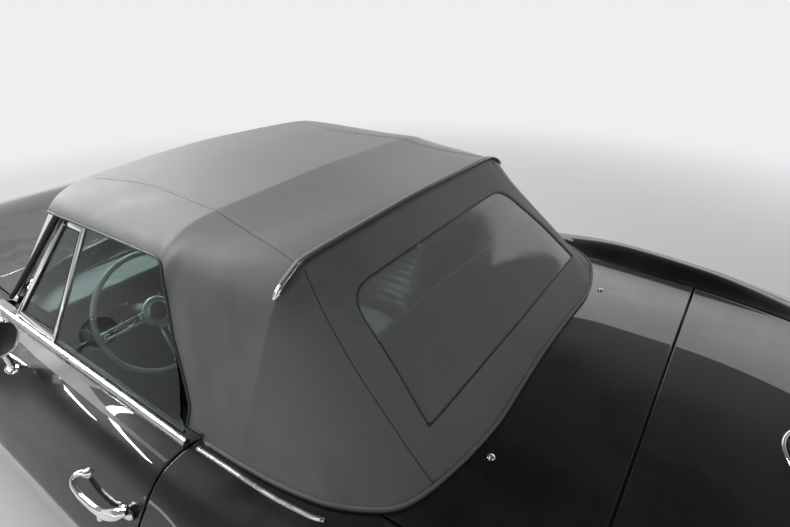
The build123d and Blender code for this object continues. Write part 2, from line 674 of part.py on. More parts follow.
def door_section(y):
    """The whole thickness of the door: skin outside, trim inside."""
    row = station(y)
    share = (DOOR_BOTTOM_Z - row["sill_z"]) / (row["low_z"] - row["sill_z"])
    foot_x = row["sill_x"] + share * (row["low_x"] - row["sill_x"])
    outer = [Vector(foot_x, y, DOOR_BOTTOM_Z), *corners(y, "low", "peak")]
    inner = [(DOOR_INNER_BELT_X, y, row["peak_z"] - 6), (645, y, 600), (690, y, 420), (725, y, DOOR_BOTTOM_Z)]
    edges = rounded_chain(outer, plain=SIDE_PLAIN)
    points = [outer[-1], *[Vector(*p) for p in inner], outer[0]]
    edges += [Line(a, b).edge() for a, b in zip(points, points[1:])]
    return Face(Wire(edges))


def door():
    """The left door, with two notches for its hinges and its rear edge slanted to clear the pillar."""
    shape = between([door_section(y) for y in (DOOR_FRONT_Y, 0, DOOR_REAR_Y)])
    slant = upright([(880, DOOR_REAR_Y), (600, DOOR_REAR_Y - 36), (600, DOOR_REAR_Y + 40), (880, DOOR_REAR_Y + 40)],
                    200, 1000)
    shape -= slant
    for z in DOOR_HINGE_LEVELS:
        reach = DOOR_EYE_HEIGHT / 2 + 5
        notch = box_between((600, DOOR_FRONT_Y - 10, z - reach), (DOOR_HINGE_X + 15.5, DOOR_HINGE_Y + 16, z + reach))
        pin = Pos(DOOR_HINGE_X, DOOR_HINGE_Y, z) * Cylinder(DOOR_PIN_RADIUS, 2 * reach + 10)
        shape = shape - notch + pin
    play, deep = SEAT_OF_PANEL, -SLOT_SHARE - 0.001
    bar_end_y = VENT_FOOT_Y + DIVISION_WIDTH / 2 + play
    shape -= window_pane([(VENT_FRONT_FOOT_Y - play, deep), (bar_end_y, deep), (bar_end_y, 0.2),
                          (VENT_FRONT_FOOT_Y - play, 0.2)], 14 + 2 * play, -5 - play)
    shape -= window_pane([(VENT_FOOT_Y, deep), (WINDOW_REAR_FOOT_Y + play, deep), (WINDOW_REAR_FOOT_Y + play, 0.2),
                          (VENT_FOOT_Y, 0.2)], GLASS + 2 * play, -play)
    return shape


def door_left():
    return door()


def door_right():
    return mirror(door(), about=Plane.YZ)


WINDOW_FOOT = (682.0, 885.0)
WINDOW_HEAD = (533.0, 1182.0)
VENT_FOOT_Y = -117.0
WINDOW_REAR_FOOT_Y = 455.0
WINDOW_REAR_HEAD_Y = 258.0
VENT_FRONT_FOOT_Y = -424.0
VENT_FRONT_HEAD_Y = -160.0
DIVISION_WIDTH = 16.0


def window_point(y, share, offset=0.0):
    """A point on the side window's leaning plane, a share of the way from its foot to its head."""
    x = WINDOW_FOOT[0] + share * (WINDOW_HEAD[0] - WINDOW_FOOT[0])
    z = WINDOW_FOOT[1] + share * (WINDOW_HEAD[1] - WINDOW_FOOT[1])
    return Vector(x + offset, y, z)


def window_pane(outline, thickness, offset=0.0):
    """A leaning pane: outline points are (y, share of the height)."""
    points = [window_point(y, share, offset) for y, share in outline]
    face = Face(Wire.make_polygon(points, close=True))
    return Solid.extrude(face, Vector(thickness, 0, 0))


VENT_SILL_SHARE = 0.055
SLOT_SHARE = 0.07
RAKE_HEAD_SHARE = 0.93


def rake_y(share):
    """The rear edge of the vent frame's raked bar, a share of the way up."""
    foot_y = VENT_FRONT_FOOT_Y + 20
    head_y = VENT_FOOT_Y - DIVISION_WIDTH / 2
    return foot_y + (head_y - foot_y) * share / RAKE_HEAD_SHARE


def door_glass():
    """The door's two panes: the winding window and the vent window ahead of its division bar."""
    half = DIVISION_WIDTH / 2 + SEAT_OF_PANEL
    low_share = -SLOT_SHARE
    main = window_pane([(VENT_FOOT_Y + half, low_share), (WINDOW_REAR_FOOT_Y, low_share), (WINDOW_REAR_FOOT_Y, 0.0),
                        (WINDOW_REAR_FOOT_Y - 40, 0.3),
                        (WINDOW_REAR_HEAD_Y + 40, 0.9), (WINDOW_REAR_HEAD_Y, 1.0), (VENT_FOOT_Y + half, 1.0)], GLASS)
    low, rear_y = VENT_SILL_SHARE + 0.001, VENT_FOOT_Y - half
    inside = 1.0
    head = (rear_y - inside - rake_y(0)) / (rake_y(1) - rake_y(0))
    vent = window_pane([(rake_y(low) + inside, low), (rear_y, low), (rear_y, head)], GLASS)
    return Compound(children=[*main.solids(), *vent.solids()])


HANDLE_Z = 792.0
HANDLE_Y = (246.0, 388.0)


def door_handle():
    """The lever handle, a tapered bar on two feet that stand on the door's skin."""
    row = station(HANDLE_Y[0])
    foot_half = 6.0
    down = (HANDLE_Z - foot_half - row["crease_z"]) / (row["shoulder_z"] - row["crease_z"])
    skin_x = share_of(row["crease_x"], row["shoulder_x"], down) + SEAT_OF_PANEL
    y0, y1 = HANDLE_Y
    low, high = HANDLE_Z - 9, HANDLE_Z + 9
    foot_low, foot_high = HANDLE_Z - foot_half, HANDLE_Z + foot_half
    grip = upright([(skin_x + 14, y0), (skin_x + 26, y0 + 6), (skin_x + 32, y1 - 30), (skin_x + 26, y1), (skin_x + 18, y1)],
                   low, high)
    feet = upright([(skin_x, y0 + 4), (skin_x + 18, y0 + 4), (skin_x + 18, y0 + 22), (skin_x, y0 + 22)],
                   foot_low, foot_high)
    feet += upright([(skin_x, y1 - 30), (skin_x + 24, y1 - 30), (skin_x + 24, y1 - 4), (skin_x, y1 - 4)],
                    foot_low, foot_high)
    return grip + feet


def door_trim():
    """The vent window's frame, and the lever handle."""
    half = DIVISION_WIDTH / 2
    division = window_pane([(VENT_FOOT_Y - half, -SLOT_SHARE), (VENT_FOOT_Y + half, -SLOT_SHARE),
                            (VENT_FOOT_Y + half, 1.0), (VENT_FOOT_Y - half, 1.0)], 14, -5)
    foot = window_pane([(VENT_FRONT_FOOT_Y, -SLOT_SHARE), (VENT_FOOT_Y, -SLOT_SHARE), (VENT_FOOT_Y, VENT_SILL_SHARE),
                        (VENT_FRONT_FOOT_Y + 12, VENT_SILL_SHARE)], 14, -5)
    rake = window_pane([(VENT_FRONT_FOOT_Y, 0.0), (rake_y(0), 0.0), (VENT_FOOT_Y - half, RAKE_HEAD_SHARE),
                        (VENT_FOOT_Y, 1.0), (VENT_FOOT_Y - 20, 1.0)], 14, -5)
    frame = division + foot + rake
    return Compound(children=[*frame.solids(), *door_handle().solids()])


def door_glass_left():
    return door_glass()


def door_glass_right():
    return mirror(door_glass(), about=Plane.YZ)


def door_trim_left():
    return door_trim()


def door_trim_right():
    return mirror(door_trim(), about=Plane.YZ)


CUSHION_TOP_Z = 420.0


def seat(side):
    """One bucket seat: a cushion and a raked back."""
    x0, x1 = sorted((side * 150, side * 620))
    cushion = box_between((x0, -190, FLOOR_Z + PANEL + SEAT_OF_PANEL), (x1, 330, CUSHION_TOP_Z))
    back_z = CUSHION_TOP_Z + SEAT_OF_PANEL
    back = prism_across([(250, back_z), (345, back_z), (460, 900), (390, 905)], 225)
    return Compound(children=[*cushion.solids(), *(Pos(side * 385, 0, 0) * back).solids()])


def seats():
    return Compound(children=[*seat(1).solids(), *seat(-1).solids()])


def console():
    """The housing on the tunnel, with the shift lever and the handbrake."""
    y0, y1 = -340.0, 300.0
    feet = [(y, in_table(TUNNEL_TOP, y) + SEAT_OF_PANEL) for y in (y0, y1)]
    body = prism_across([*feet, (y1, 470), (y0, 470)], 95)
    lever = Pos(0, -150, 520) * Cylinder(7, 110)
    knob = Pos(0, -150, 585) * (Cylinder(20, 26) + Pos(0, 0, 17) * Cone(20, 8, 8))
    return body + lever + knob


STEERING_HUB = (375.0, -132.0, 805.0)
STEERING_RAKE = 20.0
STEERING_RADIUS = 196.0
STEERING_RIM = 9.0
STEERING_HUB_BACK = -21.0


def steering_place():
    """The steering wheel's own frame: its axis points up and back to the driver."""
    return Pos(*STEERING_HUB) * Rot(-(90 - STEERING_RAKE), 0, 0)


def steering_column():
    """The column's tube, from the instrument panel's face to the wheel's hub."""
    low, high = -355.0, STEERING_HUB_BACK - SEAT_OF_PANEL
    tube = steering_place() * Pos(0, 0, (low + high) / 2) * Cylinder(26, high - low)
    return tube - dashboard_prism(DASH_HALF_WIDTH, SEAT_OF_PANEL)


def steering_wheel():
    """A rim, three flat spokes with a slot in each, and the hub."""
    corners_of_rim = [(STEERING_RIM * math.sin(math.tau * k / 6), STEERING_RADIUS + STEERING_RIM * math.cos(math.tau * k / 6))
                      for k in range(6)]
    rim = Rot(0, -90, 0) * turned(corners_of_rim, (0, 0, 0))
    hub = Pos(0, 0, STEERING_HUB_BACK) * Cylinder(38, 34, align=(Align.CENTER, Align.CENTER, Align.MIN))
    shape = rim + hub
    for angle in (180, 300, 60):
        spoke = Box(STEERING_RADIUS, 34, 4, align=(Align.MIN, Align.CENTER, Align.CENTER))
        slot = Pos(110, 0, 0) * Box(90, 12, 20)
        shape += Rot(0, 0, angle + 90) * (spoke - slot)
    return steering_place() * shape


EAVES = [
    (-300, 556, 1214, 466, 1244, 1256),
    (-205, 556, 1218, 470, 1250, 1262),
    (0, 552, 1216, 465, 1256, 1268),
    (313, 552, 1212, 458, 1256, 1268),
    (630, 520, 1172, 448, 1226, 1238),
    (700, 508, 1118, 420, 1150, 1166),
    (830, 498, 1008, 438, 1046, 1064),
    (938, 470, 926, 420, 948, 958),
    (1001, 330, 896, 280, 904, 908),
]
EAVES_COLUMNS = ("y", "edge_x", "edge_z", "crown_x", "crown_z", "top_z")
HEM_X = [(-300, 674), (0, 678), (313, 680), (500, 676), (573, 661), (716, 658), (828, 645), (938, 573), (1001, 400)]
TOP_THICKNESS = 5.0
TOP_PLAIN = (3,)
HEM_Z = 866.0


def in_table(table, y):
    """A value read off a table of (y, value) pairs with straight runs between them."""
    for (y0, a), (y1, b) in zip(table, table[1:]):
        if y0 <= y <= y1:
            return a + (b - a) * (y - y0) / (y1 - y0)
    return table[-1][1]


def top_chain(y):
    """The soft top's section, from the left hem over the roof to the right hem."""
    row = {name: in_table([(r[0], r[i]) for r in EAVES], y) for i, name in enumerate(EAVES_COLUMNS) if i}
    left = [Vector(in_table(HEM_X, y), y, HEM_Z), Vector(row["edge_x"], y, row["edge_z"]),
            Vector(row["crown_x"], y, row["crown_z"])]
    right = [Vector(-p.X, p.Y, p.Z) for p in reversed(left)]
    return [*left, Vector(0, y, row["top_z"]), *right]


def top_shell(thickness, depth=0.0):
    """The soft top's skin, or a layer that lies under it or, with a depth below zero, over it."""
    ys = [row[0] for row in EAVES]
    chains = [moved_inwards(top_chain(y), depth) if depth else top_chain(y) for y in ys]
    under, over = depth > 0, depth < 0
    return between([wall_section(chain, thickness, TOP_PLAIN, 0.7, under, not over) for chain in chains])


def below_deck(rise):
    """All that lies under the car's skin behind the doors, and a little above it."""
    ys = stations_between(DOOR_REAR_Y - 300, 1300)
    return between([filled_section(across(y, "sill", rise=rise), plain=WHOLE_PLAIN) for y in ys])


SIDE_WINDOW = [(-400, 800), (-400, 1199), (262, 1193), (330, 1180), (385, 1050), (466, 930), (470, 800)]
REAR_WINDOW = [(361, 137), (434, -145)]
REAR_WINDOW_CENTRE = (0.0, 817.0, 1052.0)


def rear_window_prism(margin):
    """A prism square to the rear slope, with the rear window's outline."""
    plane = Plane(REAR_WINDOW_CENTRE, x_dir=(1, 0, 0), z_dir=(0, 0.65, 0.76))
    (top_x, top_v), (low_x, low_v) = REAR_WINDOW
    outline = Polyline((top_x - margin, top_v - margin), (-top_x + margin, top_v - margin),
                       (-low_x + margin, low_v + margin), (low_x - margin, low_v + margin), close=True)
    return extrude(plane * make_face(outline), 60, both=True)


TOP_FRONT_OVERHANG = 14.0


def ahead_of_top():
    """All that lies ahead of the soft top's front edge, which follows the windshield's head."""
    route = [(x, y - TOP_FRONT_OVERHANG) for x, y in windshield_route(1.0)]
    mirrored = [(-x, y) for x, y in route[-2::-1]]
    beyond_y, beyond_x = -500, 900
    return upright([(beyond_x, route[0][1]), *route, *mirrored, (-beyond_x, route[0][1]), (-beyond_x, beyond_y),
                    (beyond_x, beyond_y)], 1100, 1400)


def top_fabric():
    """The raised soft top: one skin with its side window openings, rear window hole and hem."""
    shape = top_shell(TOP_THICKNESS) - prism_across(SIDE_WINDOW, 900) - rear_window_prism(0.0)
    return shape - ahead_of_top() - below_deck(SEAT_OF_PANEL)


def rear_window():
    return top_shell(TOP_THICKNESS) & rear_window_prism(SEAT_OF_PANEL)


REAR_BOW = (606.0, 632.0)
MOLDING_HEIGHT = 7.0


def top_molding():
    """The bright-tipped welt across the top over its rear bow."""
    y0, y1 = REAR_BOW[0] + 14, REAR_BOW[1] + 4
    welt = top_shell(MOLDING_HEIGHT, -MOLDING_HEIGHT - SEAT_OF_PANEL)
    return welt & box_between((-700, y0, 1186), (700, y1, 1300))


BOW_DEPTH = 14.0


def top_frame():
    """The header over the windshield, two bows and a rail over each side window, under the fabric."""
    depth = TOP_THICKNESS + SEAT_OF_PANEL
    ys = [row[0] for row in EAVES[:5]]
    under_fabric = between([filled_section(moved_inwards(top_chain(y), depth), 0.7, TOP_PLAIN, True) for y in ys])
    header = between([plan_band(windshield_route(1.0), z, 10, 46) for z in (WINDSHIELD_HIGH_Z + SEAT_OF_PANEL, 1300)])
    header &= under_fabric
    rails = [(-172, 1206), (300, 1202), (330, 1186), (632, 1150), (632, 1185), (318, 1222), (-172, 1228)]
    region = prism_across(rails, 700) + box_between((-700, 296, 1200), (700, 318, 1400))
    region += box_between((-700, REAR_BOW[0], 1160), (700, REAR_BOW[1], 1400))
    bows = top_shell(BOW_DEPTH, depth) & region
    return header + bows


def hub_frame(side, axle_y, track):
    return (side * track / 2, axle_y, TYRE_RADIUS)


RIM_RADIUS = 190.0
TYRE_PROFILE = [(-66, RIM_RADIUS), (-85, 268), (-64, TYRE_RADIUS), (64, TYRE_RADIUS), (85, 268), (66, RIM_RADIUS)]
WHEEL_PROFILE = [(-66, RIM_RADIUS - 0.3), (66, RIM_RADIUS - 0.3), (70, 204), (48, 118), (60, 0), (2, 0), (2, 15.3),
                 (-45, 15.3), (-45, 150), (-66, 182)]


def tyre(side, axle_y, track):
    return turned(TYRE_PROFILE, hub_frame(side, axle_y, track), side)


def wheel(side, axle_y, track):
    return turned(WHEEL_PROFILE, hub_frame(side, axle_y, track), side)


KINGPIN_X = FRONT_TRACK / 2 - 71.5
KINGPIN_RADIUS = 17.0
UPRIGHT_LOW_Z = 228.0
UPRIGHT_HIGH_Z = 452.0
SPINDLE_RADIUS = 15.0


def knuckle(side):
    """The upright that steers, with its spindle into the wheel's hub and its steering arm."""
    x, y = KINGPIN_X, FRONT_AXLE_Y
    hub_x = FRONT_TRACK / 2
    post = Pos(x, y, (UPRIGHT_LOW_Z + UPRIGHT_HIGH_Z) / 2) * Cylinder(KINGPIN_RADIUS, UPRIGHT_HIGH_Z - UPRIGHT_LOW_Z)
    spindle = Pos((x + hub_x) / 2, y, TYRE_RADIUS) * Rot(0, 90, 0) * Cylinder(SPINDLE_RADIUS, hub_x - x)
    arm = box_between((x - 20, y, 290), (x + 4, y + 150, 306))
    shape = post + spindle + arm
    return shape if side > 0 else mirror(shape, about=Plane.YZ)


RAIL_ROUTE = [(385, NOSE_Y + 265), (385, FRONT_AXLE_Y + 255), (400, FRONT_AXLE_Y + 405), (600, -640), (610, 420),
              (450, 760), (420, REAR_AXLE_Y + 366), (430, TAIL_Y - 195)]
RAIL_WIDTH = 70.0
RAIL_LOW_Z = 152.0
RAIL_HIGH_Z = FLOOR_Z - SEAT_OF_PANEL


PIPE_X = 215.0
PIPE_RADIUS = 22.0
PIPE_Z = 187.0
TRAILING_ARM_X = (REAR_TRACK / 2 - 156.5, REAR_TRACK / 2 - 91.5)
TRAILING_ARM_Y = 640.0
DRIVE_FRONT_Y = REAR_AXLE_Y - 120.0
TIE_BAR_Y = NOSE_Y + 235
POST_X = (340.0, 380.0)
HOOD_HINGE_Y = NOSE_Y + 265
HOOD_HINGE_Z = 725.0
HOOD_EYE_X = (372.0, 388.0)
HOOD_PIN_RADIUS = 4.0


def cross_member(y, half_x, width, low_z, high_z):
    return box_between((-half_x, y - width / 2, low_z), (half_x, y + width / 2, high_z))


def chassis_frame():
    """Two rails that widen under the cabin, their cross members, and the nose's tie bar with the hood's pins."""
    rail = plan_wall(RAIL_ROUTE[::-1], RAIL_WIDTH, RAIL_LOW_Z, RAIL_HIGH_Z)
    shape = both_sides(rail) + cross_member(NOSE_Y + 325, 380, 90, RAIL_LOW_Z + 12, RAIL_HIGH_Z - 4)
    shape += cross_member(FRONT_AXLE_Y, 350, 90, RAIL_LOW_Z + 12, RAIL_HIGH_Z - 4)
    middle = cross_member(-820, 480, 90, RAIL_LOW_Z, RAIL_HIGH_Z)
    for side in (-1, 1):
        x0, x1 = sorted((side * (PIPE_X - PIPE_RADIUS - 5), side * (PIPE_X + PIPE_RADIUS + 5)))
        middle -= box_between((x0, -900, PIPE_Z - PIPE_RADIUS - 5), (x1, -700, RAIL_HIGH_Z))
    shape += middle + cross_member(TAIL_Y - 237, 425, 85, RAIL_HIGH_Z - 4, RAIL_HIGH_Z + 36)
    seat_y = DRIVE_FRONT_Y - SEAT_OF_PANEL
    shape += box_between((-410, seat_y - 54, 300), (410, seat_y, 370))
    leg = box_between((376, seat_y - 54, RAIL_HIGH_Z - 20), (430, seat_y, 370))
    arm_end = TRAILING_ARM_Y - SEAT_OF_PANEL
    hanger = box_between((500, arm_end - 50, RAIL_LOW_Z + 10), (TRAILING_ARM_X[1], arm_end, 345))
    post = box_between((POST_X[0], TIE_BAR_Y, RAIL_LOW_Z + 8), (POST_X[1], TIE_BAR_Y + 40, 500))
    tie = box_between((-500, TIE_BAR_Y, 462), (500, TIE_BAR_Y + 24, 508))
    x0, x1 = HOOD_EYE_X[1] + 3, HOOD_EYE_X[1] + 11
    cheek = box_between((x0, HOOD_HINGE_Y - 6, 480), (x1, HOOD_HINGE_Y + 6, HOOD_HINGE_Z + 4))
    stay = box_between((x0, TIE_BAR_Y + 20, 480), (x1, HOOD_HINGE_Y + 6, 508))
    pin_low, pin_high = HOOD_EYE_X[0] - 3, HOOD_EYE_X[1] + 11
    pin_place = Pos((pin_low + pin_high) / 2, HOOD_HINGE_Y, HOOD_HINGE_Z)
    pin = pin_place * Rot(0, 90, 0) * Cylinder(HOOD_PIN_RADIUS, pin_high - pin_low)
    return shape + tie + both_sides(leg + hanger + post + cheek + stay + pin)


ENGINE_LOW_Z = 240.0


def engine():
    """The engine and gearbox as one plain block."""
    rear_y = FIREWALL_Y - 90
    block = box_between((-250, FRONT_AXLE_Y - 145, ENGINE_LOW_Z), (250, rear_y, 745))
    gearbox = box_between((-110, rear_y, 260), (110, FIREWALL_Y - PANEL - 3, 480))
    foot = box_between((120, FRONT_AXLE_Y - 30, RAIL_HIGH_Z - 4 + SEAT_OF_PANEL), (180, FRONT_AXLE_Y + 30, ENGINE_LOW_Z))
    return block + gearbox + both_sides(foot)


def arm_outline(inner_x, outer_x, inner_half, outer_half, y):
    return [(inner_x, y - inner_half), (outer_x, y - outer_half), (outer_x, y + outer_half), (inner_x, y + inner_half)]


def front_suspension():
    """Upper and lower wishbones and the coil spring's tower at each side."""
    y = FRONT_AXLE_Y
    low = upright(arm_outline(385 + SEAT_OF_PANEL, KINGPIN_X + 12, 110, 16, y), 204, UPRIGHT_LOW_Z - SEAT_OF_PANEL)
    high = upright(arm_outline(360, KINGPIN_X + 12, 90, 14, y), UPRIGHT_HIGH_Z + SEAT_OF_PANEL, 476)
    spring_radius = 48.0
    spring = Pos(385 + SEAT_OF_PANEL + spring_radius, y, 340) * Cylinder(spring_radius, 240)
    return both_sides(low + spring + high)


def rear_suspension():
    """The fixed final drive with a half shaft, a trailing arm and the leaf spring's half to each hub."""
    y = REAR_AXLE_Y
    hub_x = REAR_TRACK / 2
    drive = box_between((-110, DRIVE_FRONT_Y, 250), (110, y + 120, 430))
    shape = drive
    for side in (-1, 1):
        shaft_end = TRAILING_ARM_X[0] + 15
        shaft = Pos(side * (100 + shaft_end) / 2, y, TYRE_RADIUS) * Rot(0, 90, 0) * Cylinder(24, shaft_end - 100)
        stub = Pos(side * (hub_x - 72), y, TYRE_RADIUS) * Rot(0, 90, 0) * Cylinder(SPINDLE_RADIUS, 140)
        shape = shape + shaft + stub
        x0, x1 = sorted(side * x for x in TRAILING_ARM_X)
        arm = box_between((x0, TRAILING_ARM_Y, 300), (x1, y + 60, 372))
        shape = shape + arm
    leaf_end = TRAILING_ARM_X[0] + 25
    leaf = box_between((-leaf_end, y + 150, 262), (leaf_end, y + 214, 284))
    return shape + leaf + box_between((-60, y + 100, 262), (60, y + 160, 300))


def exhausts():
    """Two pipes from the engine, with a silencer each and their tips under the tail."""
    tip_radius = 26.0
    tip_z = RAIL_HIGH_Z - 4 - SEAT_OF_PANEL - tip_radius
    front_y = -900.0
    riser = box_between((PIPE_X - 16, front_y - 16, PIPE_Z), (PIPE_X + 16, front_y + 16, ENGINE_LOW_Z - SEAT_OF_PANEL))
    silencer_y = (REAR_AXLE_Y + 116, TAIL_Y - 425)
    pipe_ends = (front_y - PIPE_RADIUS, silencer_y[0] + 10)
    pipe = Pos(PIPE_X, sum(pipe_ends) / 2, PIPE_Z) * Rot(90, 0, 0) * Cylinder(PIPE_RADIUS, pipe_ends[1] - pipe_ends[0])
    silencer = box_between((PIPE_X - 70, silencer_y[0], 166), (PIPE_X + 70, silencer_y[1], 232))
    tip_ends = (silencer_y[1] - 5, TAIL_Y - 10)
    tip = Pos(PIPE_X, sum(tip_ends) / 2, tip_z) * Rot(90, 0, 0) * Cylinder(tip_radius, tip_ends[1] - tip_ends[0])
    return both_sides(pipe + riser + silencer + tip)


def tyre_front_left():
    return tyre(1, FRONT_AXLE_Y, FRONT_TRACK)


def tyre_front_right():
    return tyre(-1, FRONT_AXLE_Y, FRONT_TRACK)


def tyre_rear_left():
    return tyre(1, REAR_AXLE_Y, REAR_TRACK)


def tyre_rear_right():
    return tyre(-1, REAR_AXLE_Y, REAR_TRACK)


def wheel_front_left():
    return wheel(1, FRONT_AXLE_Y, FRONT_TRACK)


def wheel_front_right():
    return wheel(-1, FRONT_AXLE_Y, FRONT_TRACK)


def wheel_rear_left():
    return wheel(1, REAR_AXLE_Y, REAR_TRACK)


def wheel_rear_right():
    return wheel(-1, REAR_AXLE_Y, REAR_TRACK)


def knuckle_left():
    return knuckle(1)


def knuckle_right():
    return knuckle(-1)


PIECES = [
    front_fenders, nose_panel, headlamp_covers, front_valance, grille, front_lamps, front_bumpers, hood, cowl_panel,
    windshield_frame, windshield_glass, dashboard, rear_quarters, rear_deck, deck_lid, filler_door, filler_neck,
    tail_panel, tail_lamps, rear_bumpers, rockers, floor_tub, door_left, door_right, door_glass_left,
    door_glass_right, door_trim_left, door_trim_right, seats, console, steering_column, steering_wheel, top_fabric,
    rear_window, top_molding, top_frame, chassis_frame, engine, front_suspension, rear_suspension, exhausts,
    knuckle_left, knuckle_right, tyre_front_left, tyre_front_right, tyre_rear_left, tyre_rear_right,
    wheel_front_left, wheel_front_right, wheel_rear_left, wheel_rear_right,
]

if __name__ == "__main__":
    total = 0
    for piece in PIECES:
        shape = piece()
        save(piece.__name__, shape)
        facets = len(shape.tessellate(0.4, 0.3)[1])
        total += facets
        sound = all(solid.is_valid for solid in shape.solids())
        print(piece.__name__, "solids", len(shape.solids()), "valid", sound, "facets", facets)
    print("total", total)
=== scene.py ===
"""The looks of a classic two-seat sports car with its soft top raised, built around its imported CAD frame.

Everything is in metres, with +Y towards the tail, +Z up and the driver's side at +X."""

import math

import bmesh
import bpy
import numpy as np
from mathutils import Matrix, Vector
from mathutils.bvhtree import BVHTree


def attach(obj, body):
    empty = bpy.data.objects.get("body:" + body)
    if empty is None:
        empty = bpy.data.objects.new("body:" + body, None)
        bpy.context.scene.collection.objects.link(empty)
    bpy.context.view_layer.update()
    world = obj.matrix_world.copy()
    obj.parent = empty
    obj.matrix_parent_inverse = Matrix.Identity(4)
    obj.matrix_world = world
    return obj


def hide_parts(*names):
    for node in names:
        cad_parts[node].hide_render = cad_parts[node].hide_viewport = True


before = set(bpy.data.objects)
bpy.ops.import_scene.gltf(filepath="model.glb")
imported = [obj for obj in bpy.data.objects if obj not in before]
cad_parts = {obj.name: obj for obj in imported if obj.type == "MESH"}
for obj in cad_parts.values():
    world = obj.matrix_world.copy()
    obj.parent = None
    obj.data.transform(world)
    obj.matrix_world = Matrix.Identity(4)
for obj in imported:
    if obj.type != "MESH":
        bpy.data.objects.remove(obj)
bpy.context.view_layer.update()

MM = 0.001
SIDES = ((1, "left"), (-1, "right"))

# The driving dimensions, as in the part's source
FRONT_AXLE_Y = -1.355
REAR_AXLE_Y = 1.134
FRONT_TRACK = 1.443
REAR_TRACK = 1.463
TYRE_RADIUS = 0.338
DOOR_FRONT_Y = -0.530
DOOR_BOTTOM_Z = 0.290
WHEEL_ARCH_RADIUS = 0.360
WHEEL_ARCH_Z = 0.324
FILLER_Y = 1.622
FILLER_RADIUS = 0.098

# The photograph shows the door's rear edge 36 mm further back than the part's source has it
DOOR_REAR_Y = 0.505

# The gap between two panels, and the radius that their edges turn down round
SEAM_GAP = 0.005
EDGE_ROLL = 0.0024
EDGE = SEAM_GAP / 2 + EDGE_ROLL

# The seams across the car, each within 4 mm of the part's
NOSE_REAR_Y = -1.9999
HOOD_FRONT_Y = -1.997
HOOD_REAR_Y = -0.787
COWL_REAR_Y = -0.545
LID_FRONT_Y = 0.640
LID_REAR_Y = 1.275
DECK_REAR_Y = 2.1898

# Half of the body's section at each station, in millimetres: its place along the car, then how far out and how
# high the sill, the low side, the crease, the shoulder, the fender's peak and the seam beside the hood or lid
# are, and how high the middle of the hood or deck is
STATIONS = np.array([
    (-2225, 232, 570, 250, 576, 260, 590, 252, 598, 205, 604, 150, 606, 608),
    (-2200, 366, 560, 388, 572, 402, 598, 396, 614, 352, 634, 270, 638, 642),
    (-2150, 508, 552, 530, 568, 545, 607, 538, 642, 470, 676, 360, 676, 680),
    (-2060, 622, 530, 644, 560, 655, 622, 648, 684, 552, 728, 425, 712, 716),
    (-2000, 662, 238, 694, 495, 708, 633, 702, 718, 585, 760, 450, 730, 732),
    (-1900, 715, 215, 760, 485, 778, 648, 772, 766, 618, 806, 485, 752, 755),
    (-1700, 786, 205, 832, 470, 852, 674, 846, 826, 650, 868, 545, 778, 776),
    (-1355, 820, 202, 862, 450, 884, 698, 878, 872, 670, 912, 590, 797, 802),
    (-1000, 820, 200, 864, 440, 886, 698, 878, 874, 678, 898, 606, 812, 826),
    (-680, 816, 200, 864, 435, 885, 692, 874, 864, 692, 880, 618, 826, 846),
    (-530, 815, 200, 862, 430, 885, 690, 870, 862, 700, 876, 622, 832, 852),
    (-290, 815, 200, 862, 430, 885, 689, 842, 816, 738, 878, 617, 841, 861),
    (0, 815, 200, 862, 430, 886, 688, 828, 790, 752, 880, 612, 850, 870),
    (515, 815, 200, 862, 430, 886, 689, 828, 790, 757, 881, 602, 868, 905),
    (700, 815, 200, 862, 432, 886, 692, 834, 800, 745, 890, 598, 872, 912),
    (1024, 818, 202, 862, 440, 887, 701, 846, 822, 705, 924, 594, 868, 908),
    (1280, 812, 210, 856, 455, 884, 704, 846, 818, 684, 908, 588, 860, 886),
    (1600, 796, 235, 842, 475, 870, 704, 832, 790, 655, 850, 562, 838, 862),
    (1900, 760, 268, 802, 500, 828, 701, 798, 756, 612, 806, 522, 794, 812),
    (2050, 712, 300, 752, 520, 775, 697, 752, 732, 572, 768, 490, 758, 768),
    (2150, 640, 372, 688, 560, 708, 694, 694, 726, 534, 738, 450, 728, 733),
    (2200, 590, 500, 622, 600, 636, 692, 622, 706, 486, 712, 400, 712, 714),
    (2225, 530, 676, 544, 682, 556, 689, 544, 695, 425, 700, 340, 702, 704),
]) * MM
SILL, LOW, CREASE, SHOULDER, PEAK, SEAM = ((1, 2), (3, 4), (5, 6), (7, 8), (9, 10), (11, 12))
CENTRE_Z = 13


def smooth_rows(table, ys):
    """The table's rows at other places, on curves that are flat where a column turns and never overshoot."""
    x = table[:, 0]
    steps = np.diff(table, axis=0)[:, 1:] / np.diff(x)[:, None]
    slopes = np.zeros((len(x), table.shape[1] - 1))
    before, after = steps[:-1], steps[1:]
    same_way = before * after > 0
    total = np.where(same_way, before + after, 1.0)
    slopes[1:-1] = np.where(same_way, 2 * before * after / total, 0.0)
    slopes[0], slopes[-1] = steps[0], steps[-1]
    ys = np.clip(ys, x[0], x[-1])
    i = np.clip(np.searchsorted(x, ys, side="right") - 1, 0, len(x) - 2)
    span = (x[i + 1] - x[i])[:, None]
    t = ((ys - x[i])[:, None]) / span
    start = (2 * t**3 - 3 * t**2 + 1) * table[i, 1:] + (t**3 - 2 * t**2 + t) * span * slopes[i]
    end = (3 * t**2 - 2 * t**3) * table[i + 1, 1:] + (t**3 - t**2) * span * slopes[i + 1]
    return np.column_stack([ys, start + end])


